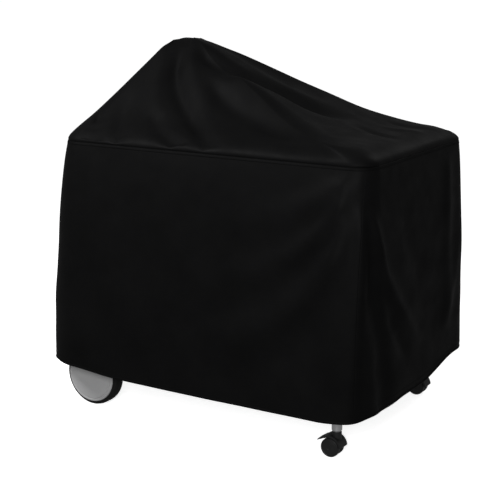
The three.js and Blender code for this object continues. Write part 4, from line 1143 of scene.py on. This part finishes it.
def caster_housing(name, y):
    """The moulded housing of a caster whose swivel stands at y."""
    axle_x, axle_z = CASTER_X - TRAIL, SMALL_WHEEL_R
    hood = [(axle_z + a, axle_x + b) for a, b in hood_outline()]
    ends = y - HOOD["half_width"], y + HOOD["half_width"]
    housing = from_bmesh(name, add_extruded(bmesh.new(), hood, *ends, "Y", 0.0009, 2))
    web = add_block(
        bmesh.new(), (axle_x - 0.015, y - WEB_HALF, axle_z), (axle_x + 0.019, y + WEB_HALF, axle_z + 0.0345),
        0.001, 2,
    )
    combined(housing, from_bmesh("web", web), "UNION")
    combined(housing, rod("hub", (axle_x, y - WEB_HALF, axle_z), 2 * WEB_HALF, 0.013, "Y"), "UNION")
    boss_outline = [(0.0, 0.054), (0.015, 0.054), (0.015, 0.0785), (0.0138, 0.080), (0.0, 0.080)]
    combined(housing, turned("boss", boss_outline, (CASTER_X, y, 0), "Z", 64), "UNION")
    for side in (-1, 1):
        start = y + side * 0.015 - 0.0105
        combined(housing, rod("room", (axle_x, start, axle_z), 0.021, 0.0315, "Y", 96), "DIFFERENCE")
    combined(housing, rod("bore", (axle_x, y - 0.03, axle_z), 0.06, 0.0043, "Y", 32), "DIFFERENCE")
    return smoothed(housing, 32)


# %% [markdown]
# The small wheels have a crowned tread, a faint ring moulded in the face, and a chamfer at the rim. The
# lever is a drop-shaped section pulled across both wheels: round where it pivots and thin at the toe.

# %% Stem, wheels and lever of each caster
SMALL_WHEEL = [
    (0.0, 0.0190), (0.0045, 0.0190), (0.0045, 0.0050), (0.0278, 0.0050), (0.0294, 0.0062), (0.0300, 0.0090),
    (0.0300, 0.0170), (0.0294, 0.0200), (0.0276, 0.0224), (0.0252, 0.0230), (0.0232, 0.0230),
    (0.0226, 0.0224), (0.0216, 0.0224), (0.0210, 0.0228), (0.0080, 0.0230), (0.0074, 0.0224), (0.0, 0.0224),
]
STEM_OUTLINE = [
    (0.0, 0.0803), (0.0130, 0.0803), (0.0130, 0.0837), (0.0054, 0.0837), (0.0054, 0.1247), (0.0044, 0.1257),
    (0.0, 0.1257),
]
PIN_OUTLINE = [
    (0.0, -0.0184), (0.0034, -0.0184), (0.004, -0.0178), (0.004, 0.0178), (0.0034, 0.0184), (0.0, 0.0184),
]
LEVER = {
    "pivot": 128, "pivot_r": 0.0365, "length": 0.024, "droop": 29, "knuckle": 0.0035, "toe": 0.0016,
    "half": 0.017,
}


def lever_outline():
    """The lever's drop-shaped section, as (height, distance along X) from its pivot."""
    outline = [(LEVER["knuckle"] * math.sin(a), LEVER["knuckle"] * math.cos(a))
               for a in np.radians(np.linspace(-100, 100, 21))]
    outline += [(LEVER["toe"] * math.sin(a), LEVER["toe"] * (1 + math.cos(a)) - LEVER["length"])
                for a in np.radians(np.linspace(100, 260, 13))]
    droop = math.radians(LEVER["droop"])
    cosine, sine = math.cos(droop), math.sin(droop)
    return [(z * cosine + x * sine, x * cosine - z * sine) for z, x in outline]


for place, sign in (("front", -1), ("back", 1)):
    y = sign * CASTER_Y
    axle_x, axle_z = CASTER_X - TRAIL, SMALL_WHEEL_R
    body = place + "_caster"
    stem = turned(place + "_swivel_stem", STEM_OUTLINE, (CASTER_X, y, 0), "Z", 48, fillet=0.0006)
    settle(stem, body, stem_steel, "stem_steel", body + "_stem")
    settle(caster_housing(place + "_hood", y), body, black_nylon, "black_plastic", body + "_housing")
    pin = turned(place + "_small_axle", PIN_OUTLINE, (axle_x, y, axle_z), "Y", 32)
    settle(pin, body, stem_steel, "stem_steel", body + "_axle")
    for hand, facing in (("outer", sign), ("inner", -sign)):
        wheel = turned(
            f"{place}_{hand}_roller", SMALL_WHEEL, (axle_x, y, axle_z), "Y", 72, facing < 0,
            fillet=0.0005, sharp=45,
        )
        settle(wheel, f"{body}_{hand}", black_nylon, "black_plastic", f"{body}_{hand}_wheel")
    angle = math.radians(LEVER["pivot"])
    pivot_x = axle_x + LEVER["pivot_r"] * math.cos(angle)
    pivot_z = axle_z + LEVER["pivot_r"] * math.sin(angle)
    section = [(pivot_z + z, pivot_x + x) for z, x in lever_outline()]
    lever = add_extruded(bmesh.new(), section, y - LEVER["half"], y + LEVER["half"], "Y", 0.0007, 2)
    lever = from_bmesh(place + "_lever", lever, 40)
    settle(lever, place + "_brake", black_nylon, "black_plastic", body + "_brake")
print("casters: swivels at", CASTER_X, "and", CASTER_Y)

# %% [markdown]
# ## The cart
# Round legs stand on the axle and the casters, and square bars join them. Only a few centimetres of one
# post show below the cover, but the rest must be right when the cover slides up. Each bar takes its
# place from the CAD node that it stands for, and gets the small rounding that a drawn tube has.

# %% Legs, rails and crossbars
LEG_R, LEG_LIP, LEG_BORE, LEG_RECESS, LEG_EDGE = 0.016, 0.0028, 0.0035, 0.0015, 0.0012


def leg(name, node_name, material):
    """A round tube with a rolled edge and a shallow recess at both ends."""
    low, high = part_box(node_name)
    x, y = (low[0] + high[0]) / 2, (low[1] + high[1]) / 2
    bottom, top = low[2], high[2]
    outline = [
        (0.0, bottom + LEG_RECESS), (LEG_R - LEG_BORE, bottom + LEG_RECESS), (LEG_R - LEG_LIP, bottom),
        (LEG_R - LEG_EDGE, bottom), (LEG_R, bottom + LEG_EDGE), (LEG_R, top - LEG_EDGE),
        (LEG_R - LEG_EDGE, top), (LEG_R - LEG_LIP, top), (LEG_R - LEG_BORE, top - LEG_RECESS),
        (0.0, top - LEG_RECESS),
    ]
    return settle(turned(name, outline, (x, y, 0), "Z", 64), "cart", material, "frame_alloy", node_name)


def bar(name, node_name, material, slot, bevel=0.002, steps=3):
    """A bar in the box of its CAD node, with rounded edges."""
    block = add_block(bmesh.new(), *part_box(node_name), bevel, steps)
    return settle(from_bmesh(name, block), "cart", material, slot, node_name)


for place in ("front", "back"):
    leg(place + "_left_post", place + "_wheel_leg", upright_alloy)
    right_post = leg(place + "_right_post", place + "_caster_leg", upright_alloy)
    sign = -1 if place == "front" else 1
    socket = rod("socket", (CASTER_X, sign * CASTER_Y, 0.07), 0.057, 0.0062, "Z", 48)
    smoothed(combined(right_post, socket, "DIFFERENCE"))
    bar(place + "_long_rail", place + "_rail", lengthwise_alloy, "frame_alloy", 0.0025)
    bar(place + "_bowl_seat", place + "_bowl_bracket", crosswise_alloy, "frame_alloy", 0.0015, 2)
bar("left_crossbar", "wheel_end_crossbar", crosswise_alloy, "frame_alloy", 0.0025)
bar("right_crossbar", "caster_end_crossbar", crosswise_alloy, "frame_alloy", 0.0025)
for post in ("front_left_post", "back_left_post"):
    y = (-1 if post.startswith("front") else 1) * 0.284
    hole = rod("axle_hole", (WHEEL_X, y - 0.03, WHEEL_Z), 0.06, 0.0063, "Y", 40)
    smoothed(combined(bpy.data.objects[post], hole, "DIFFERENCE"))

# %% [markdown]
# The bottom shelf is seven flat slats on three cross rails. A tree lays a slat as often as it is told,
# a step apart.

# %% The shelf
row_of, given, node, _, finish = new_tree(
    "row_of_copies", ("Count", "Int", 7), ("Step", "Float", 0.08), ("Material", "Material", None),
)
step = node("ShaderNodeCombineXYZ", {"Y": given["Step"]}).outputs[0]
places = node("GeometryNodeMeshLine", {"Count": given["Count"], "Offset": step}).outputs[0]
finish(node("GeometryNodeInstanceOnPoints", {"Points": places, "Instance": given["Geometry"]}).outputs[0])

shelf_low, shelf_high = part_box("bottom_shelf")
SLAT_WIDTH, SLATS = 0.044, 7
slat_step = (shelf_high[1] - shelf_low[1] - SLAT_WIDTH) / (SLATS - 1)
slat = add_block(
    bmesh.new(), (shelf_low[0], shelf_low[1], shelf_high[2] - 0.006),
    (shelf_high[0], shelf_low[1] + SLAT_WIDTH, shelf_high[2]), 0.0018, 3,
)
slats = grown(
    "shelf_slats", from_bmesh("slat", slat), row_of, Count=SLATS, Step=slat_step, Material=lengthwise_alloy,
)
settle(slats, "cart", lengthwise_alloy, "steel_bar", "bottom_shelf")
shelf_rails = bmesh.new()
middle = (shelf_low[0] + shelf_high[0]) / 2
for x in (shelf_low[0] + 0.026, middle, shelf_high[0] - 0.026):
    low = (x - 0.013, shelf_low[1], shelf_low[2])
    add_block(shelf_rails, low, (x + 0.013, shelf_high[1], shelf_high[2] - 0.0055), 0.0012, 2)
settle(from_bmesh("shelf_cross_rails", shelf_rails), "cart", crosswise_alloy, "steel_bar")

# %% The table top
table_low, table_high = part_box("table_top")
TABLE_CORNER, CORNER_STEPS = 0.034, 12


def rounded_rectangle(low, high, radius, steps):
    """Corners of a rounded rectangle in plan, anticlockwise."""
    outline = []
    for quarter in range(4):
        cx = high[0] - radius if quarter in (0, 3) else low[0] + radius
        cy = high[1] - radius if quarter in (0, 1) else low[1] + radius
        for k in range(steps + 1):
            a = math.pi / 2 * (quarter + k / steps)
            outline.append((cx + radius * math.cos(a), cy + radius * math.sin(a)))
    return outline


table_outline = rounded_rectangle(table_low, table_high, TABLE_CORNER, CORNER_STEPS)
slab = add_extruded(bmesh.new(), table_outline, table_low[2], table_high[2], "Z", 0.005, 5)
settle(from_bmesh("table_slab", slab, 40), "cart", table_board, "table_board", "table_top")
print("table", [round(h - l, 3) for l, h in zip(table_low, table_high)])

# %% [markdown]
# ## The kettle
# Lid and bowl are pressed shells: a quarter ellipse turned about the upright axis, with a rolled rim.
# Three holes go through each pole, and a flat disc with the same three holes turns over them to open or
# shut the vent.

# %% Lid and bowl
KETTLE_X, KETTLE_R, KETTLE_WALL, FLANGE = -0.283, 0.220, 0.0025, 0.006
LID_Z, LID_RISE = 0.8683, 0.192
RIM_Z, BOWL_DROP = 0.868, 0.200
HOLES = {"count": 3, "radius": 0.007, "pitch": 0.020}


def shell_outline(height, steps=26):
    """The wall of a shell: rim at 0, pole at height."""
    angles = [math.pi / 2 * k / steps for k in range(steps + 1)]
    outer = [(KETTLE_R * math.cos(a), height * math.sin(a)) for a in angles[1:-1]]
    inner_r, inner_h = KETTLE_R - KETTLE_WALL, height - KETTLE_WALL
    inner = [(inner_r * math.cos(a), inner_h * math.sin(a)) for a in angles[-2:0:-1]]
    rim = [
        (KETTLE_R, FLANGE), (KETTLE_R + FLANGE - 0.0012, FLANGE), (KETTLE_R + FLANGE, FLANGE - 0.0012),
        (KETTLE_R + FLANGE, 0.0012), (KETTLE_R + FLANGE - 0.0012, 0.0), (inner_r, 0.0),
    ]
    shoulder = [point for point in outer if point[1] > FLANGE + 0.004]
    return [(0.0, height), (0.0, inner_h)] + inner + rim[::-1] + shoulder


def vent_holes(piece, low, high):
    """Cuts the three vent holes through a piece between two levels."""
    for k in range(HOLES["count"]):
        a = math.tau * k / HOLES["count"] + math.pi / 6
        x, y = KETTLE_X + HOLES["pitch"] * math.cos(a), HOLES["pitch"] * math.sin(a)
        combined(piece, rod("vent", (x, y, low), high - low, HOLES["radius"], "Z", 40), "DIFFERENCE")
    return smoothed(piece, 30)


lid = turned("domed_lid", shell_outline(LID_RISE), (KETTLE_X, 0, LID_Z), "Z", 128, sharp=30)
settle(vent_holes(lid, LID_Z + 0.15, LID_Z + 0.22), "cart", black_enamel, "kettle_enamel", "kettle_lid")
bowl = turned("fire_bowl", shell_outline(BOWL_DROP), (KETTLE_X, 0, RIM_Z), "Z", 128, flip=True, sharp=30)
settle(vent_holes(bowl, RIM_Z - 0.23, RIM_Z - 0.15), "cart", black_enamel, "kettle_enamel", "kettle_bowl")

# %% Dampers
DISC_R, DISC_HALF = 0.034, 0.00075


def damper(name, z, *arm):
    """A disc of thin sheet with three holes, joined to an arm between two corners."""
    outline = [(0.0, -DISC_HALF), (DISC_R, -DISC_HALF), (DISC_R, DISC_HALF), (0.0, DISC_HALF)]
    disc = turned(name, outline, (KETTLE_X, 0, z), "Z", 72, fillet=0.0003)
    combined(disc, from_bmesh("arm", add_block(bmesh.new(), *arm, 0.0009, 2)), "UNION")
    return vent_holes(disc, z - 0.02, z + 0.02)


tab_low, tab_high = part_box("lid_damper")
lid_tab = (tab_low[0], -0.008, tab_low[2]), (KETTLE_X - DISC_R + 0.009, 0.008, tab_high[2])
lid_vent = damper("lid_vent_disc", tab_low[2] + DISC_HALF, *lid_tab)
settle(lid_vent, "lid_damper", damper_sheet, "damper_alloy", "lid_damper")
arm_low, arm_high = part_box("bowl_damper")
lever_arm = (
    (KETTLE_X - 0.006, arm_low[1], arm_low[2]), (KETTLE_X + 0.006, -DISC_R + 0.015, arm_low[2] + 0.003),
)
bowl_vent = damper("bowl_vent_disc", arm_high[2] - DISC_HALF, *lever_arm)
settle(bowl_vent, "bowl_damper", damper_sheet, "damper_alloy", "bowl_damper")

# %% [markdown]
# The handle is a bail of round bar with a ribbed grip. It stands tall, and it is what lifts the cover's
# peak.

# %% Handle
BAIL = {"rod": 0.0045, "half": 0.043, "foot": 1.0560, "top": 1.176, "bend": 0.014}


def bail_path(steps=9):
    half, top, bend = BAIL["half"], BAIL["top"], BAIL["bend"]
    arc = [(-half + bend - bend * math.cos(a), top - bend + bend * math.sin(a))
           for a in np.linspace(0, math.pi / 2, steps)]
    left = [(-half, BAIL["foot"])] + arc
    return [(KETTLE_X, y, z) for y, z in left] + [(KETTLE_X, -y, z) for y, z in left[::-1]]


bail = from_bmesh("handle_bail", swept(bmesh.new(), bail_path(), BAIL["rod"], 24))
settle(bail, "cart", plated_wire, "steel_bar", "lid_handle_bracket")
grip_outline = [(0.0051, -0.027), (0.0108, -0.027), (0.0120, -0.0256)]
for k in range(9):
    at = -0.0212 + k * 0.0053
    grip_outline += [
        (0.0120, at - 0.0012), (0.0110, at - 0.0006), (0.0110, at + 0.0006), (0.0120, at + 0.0012),
    ]
grip_outline += [(0.0120, 0.0256), (0.0108, 0.027), (0.0051, 0.027)]
grip = turned("ribbed_grip", grip_outline, (KETTLE_X, 0, BAIL["top"]), "Y", 56, sharp=40)
settle(grip, "cart", black_nylon, "black_plastic", "lid_handle_grip")

# %% [markdown]
# A grate follows a simple rule: a round rim of bar, and straight bars across it at equal steps, each as
# long as the circle is wide there. The tree works out that length from where each bar lies, so one tree
# makes both grates.

# %% Grates by rule
grate_tree, given, node, worked_out, finish = new_tree(
    "round_grate", ("Radius", "Float", 0.2), ("Bars", "Int", 19), ("Bar Radius", "Float", 0.0018),
    ("Material", "Material", None),
)
gaps = worked_out("ADD", given["Bars"], 1.0)
spacing = worked_out("DIVIDE", worked_out("MULTIPLY", given["Radius"], 2.0), gaps)
first = worked_out("SUBTRACT", spacing, given["Radius"])
line = node(
    "GeometryNodeMeshLine",
    {"Count": given["Bars"], "Start Location": node("ShaderNodeCombineXYZ", {"Y": first}).outputs[0],
     "Offset": node("ShaderNodeCombineXYZ", {"Y": spacing}).outputs[0]},
).outputs[0]
bar_y = node("ShaderNodeSeparateXYZ", {0: node("GeometryNodeInputPosition").outputs[0]}).outputs["Y"]
radius_squared = worked_out("MULTIPLY", given["Radius"], given["Radius"])
y_squared = worked_out("MULTIPLY", bar_y, bar_y)
reach = worked_out("SQRT", worked_out("SUBTRACT", radius_squared, y_squared))
whole_bar = worked_out("MULTIPLY", reach, 2.0)
one_bar = node(
    "GeometryNodeMeshCylinder", {"Vertices": 12, "Radius": given["Bar Radius"], "Depth": 1.0},
).outputs["Mesh"]
lying = node("GeometryNodeTransform", {"Geometry": one_bar, "Rotation": (0, math.pi / 2, 0)}).outputs[0]
bars = node(
    "GeometryNodeInstanceOnPoints",
    {"Points": line, "Instance": lying,
     "Scale": node("ShaderNodeCombineXYZ", {"X": whole_bar, "Y": 1.0, "Z": 1.0}).outputs[0]},
).outputs[0]
circle = node("GeometryNodeCurvePrimitiveCircle", {"Resolution": 96, "Radius": given["Radius"]}).outputs[0]
section = node(
    "GeometryNodeCurvePrimitiveCircle", {"Resolution": 14, "Radius": given["Bar Radius"]},
).outputs[0]
thick_section = node("GeometryNodeTransform", {"Geometry": section, "Scale": (1.12, 1.12, 1.12)}).outputs[0]
rim_bar = node("GeometryNodeCurveToMesh", {"Curve": circle, "Profile Curve": thick_section}).outputs[0]
both = node("GeometryNodeJoinGeometry")
for part in (bars, rim_bar):
    both.id_data.links.new(part, both.inputs[0])
finish(both.outputs[0])

RACKS = [("cooking_rack", "cooking_grate", 19), ("coal_rack", "charcoal_grate", 11)]
for name, node_name, bars_across in RACKS:
    low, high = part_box(node_name)
    sizes = {"Radius": (high[1] - low[1]) / 2 - 0.0025, "Bars": bars_across, "Bar_Radius": 0.0018}
    rack = smoothed(grown(name, None, grate_tree, **sizes, Material=plated_wire), 40)
    settle(moved(rack, (KETTLE_X, 0, (low[2] + high[2]) / 2)), "cart", plated_wire, "steel_bar", node_name)

# %% Ash catcher and its strap
CATCHER_OUTLINE = [
    (0.0, 0.0), (0.075, 0.0), (0.083, 0.003), (0.087, 0.010), (0.088, 0.018), (0.088, 0.0448),
    (0.0876, 0.0472), (0.0864, 0.048), (0.0852, 0.0472), (0.0848, 0.0448), (0.0864, 0.0430),
    (0.0864, 0.018), (0.0854, 0.0108), (0.0818, 0.0046), (0.0746, 0.0016), (0.0, 0.0016),
]
catcher_low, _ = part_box("ash_catcher")
catcher = turned("ash_pan", CATCHER_OUTLINE, (KETTLE_X, 0, catcher_low[2]), "Z", 96, sharp=40)
settle(catcher, "cart", stem_steel, "steel_bar", "ash_catcher")

strap_low, strap_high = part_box("ash_catcher_strap")
STRAP_THICK, STRAP_BEND = 0.003, 0.007


def strap_outline():
    """The U of the strap, as (height, distance along X), with round bends."""
    left, right, bottom, top = strap_low[0], strap_high[0], strap_low[2], strap_high[2]
    outer = [(top, left), (bottom, left), (bottom, right), (top, right)]
    t = STRAP_THICK
    inner = [(top, right - t), (bottom + t, right - t), (bottom + t, left + t), (top, left + t)]
    bends = []
    for points, radius in ((outer, STRAP_BEND), (inner, STRAP_BEND - t)):
        for i, corner in enumerate(points):
            corner = np.array(corner)
            if i in (0, 3):
                bends.append(tuple(corner))
                continue
            before, after = np.array(points[i - 1]), np.array(points[i + 1])
            start = corner + (before - corner) / np.linalg.norm(before - corner) * radius
            end = corner + (after - corner) / np.linalg.norm(after - corner) * radius
            for k in range(7):
                s = k / 6
                bends.append(tuple((1 - s) ** 2 * start + 2 * s * (1 - s) * corner + s * s * end))
    return bends


strap = add_extruded(bmesh.new(), strap_outline(), strap_low[1], strap_high[1], "Y", 0.0006, 2)
settle(from_bmesh("catcher_strap", strap, 40), "cart", stem_steel, "steel_bar", "ash_catcher_strap")
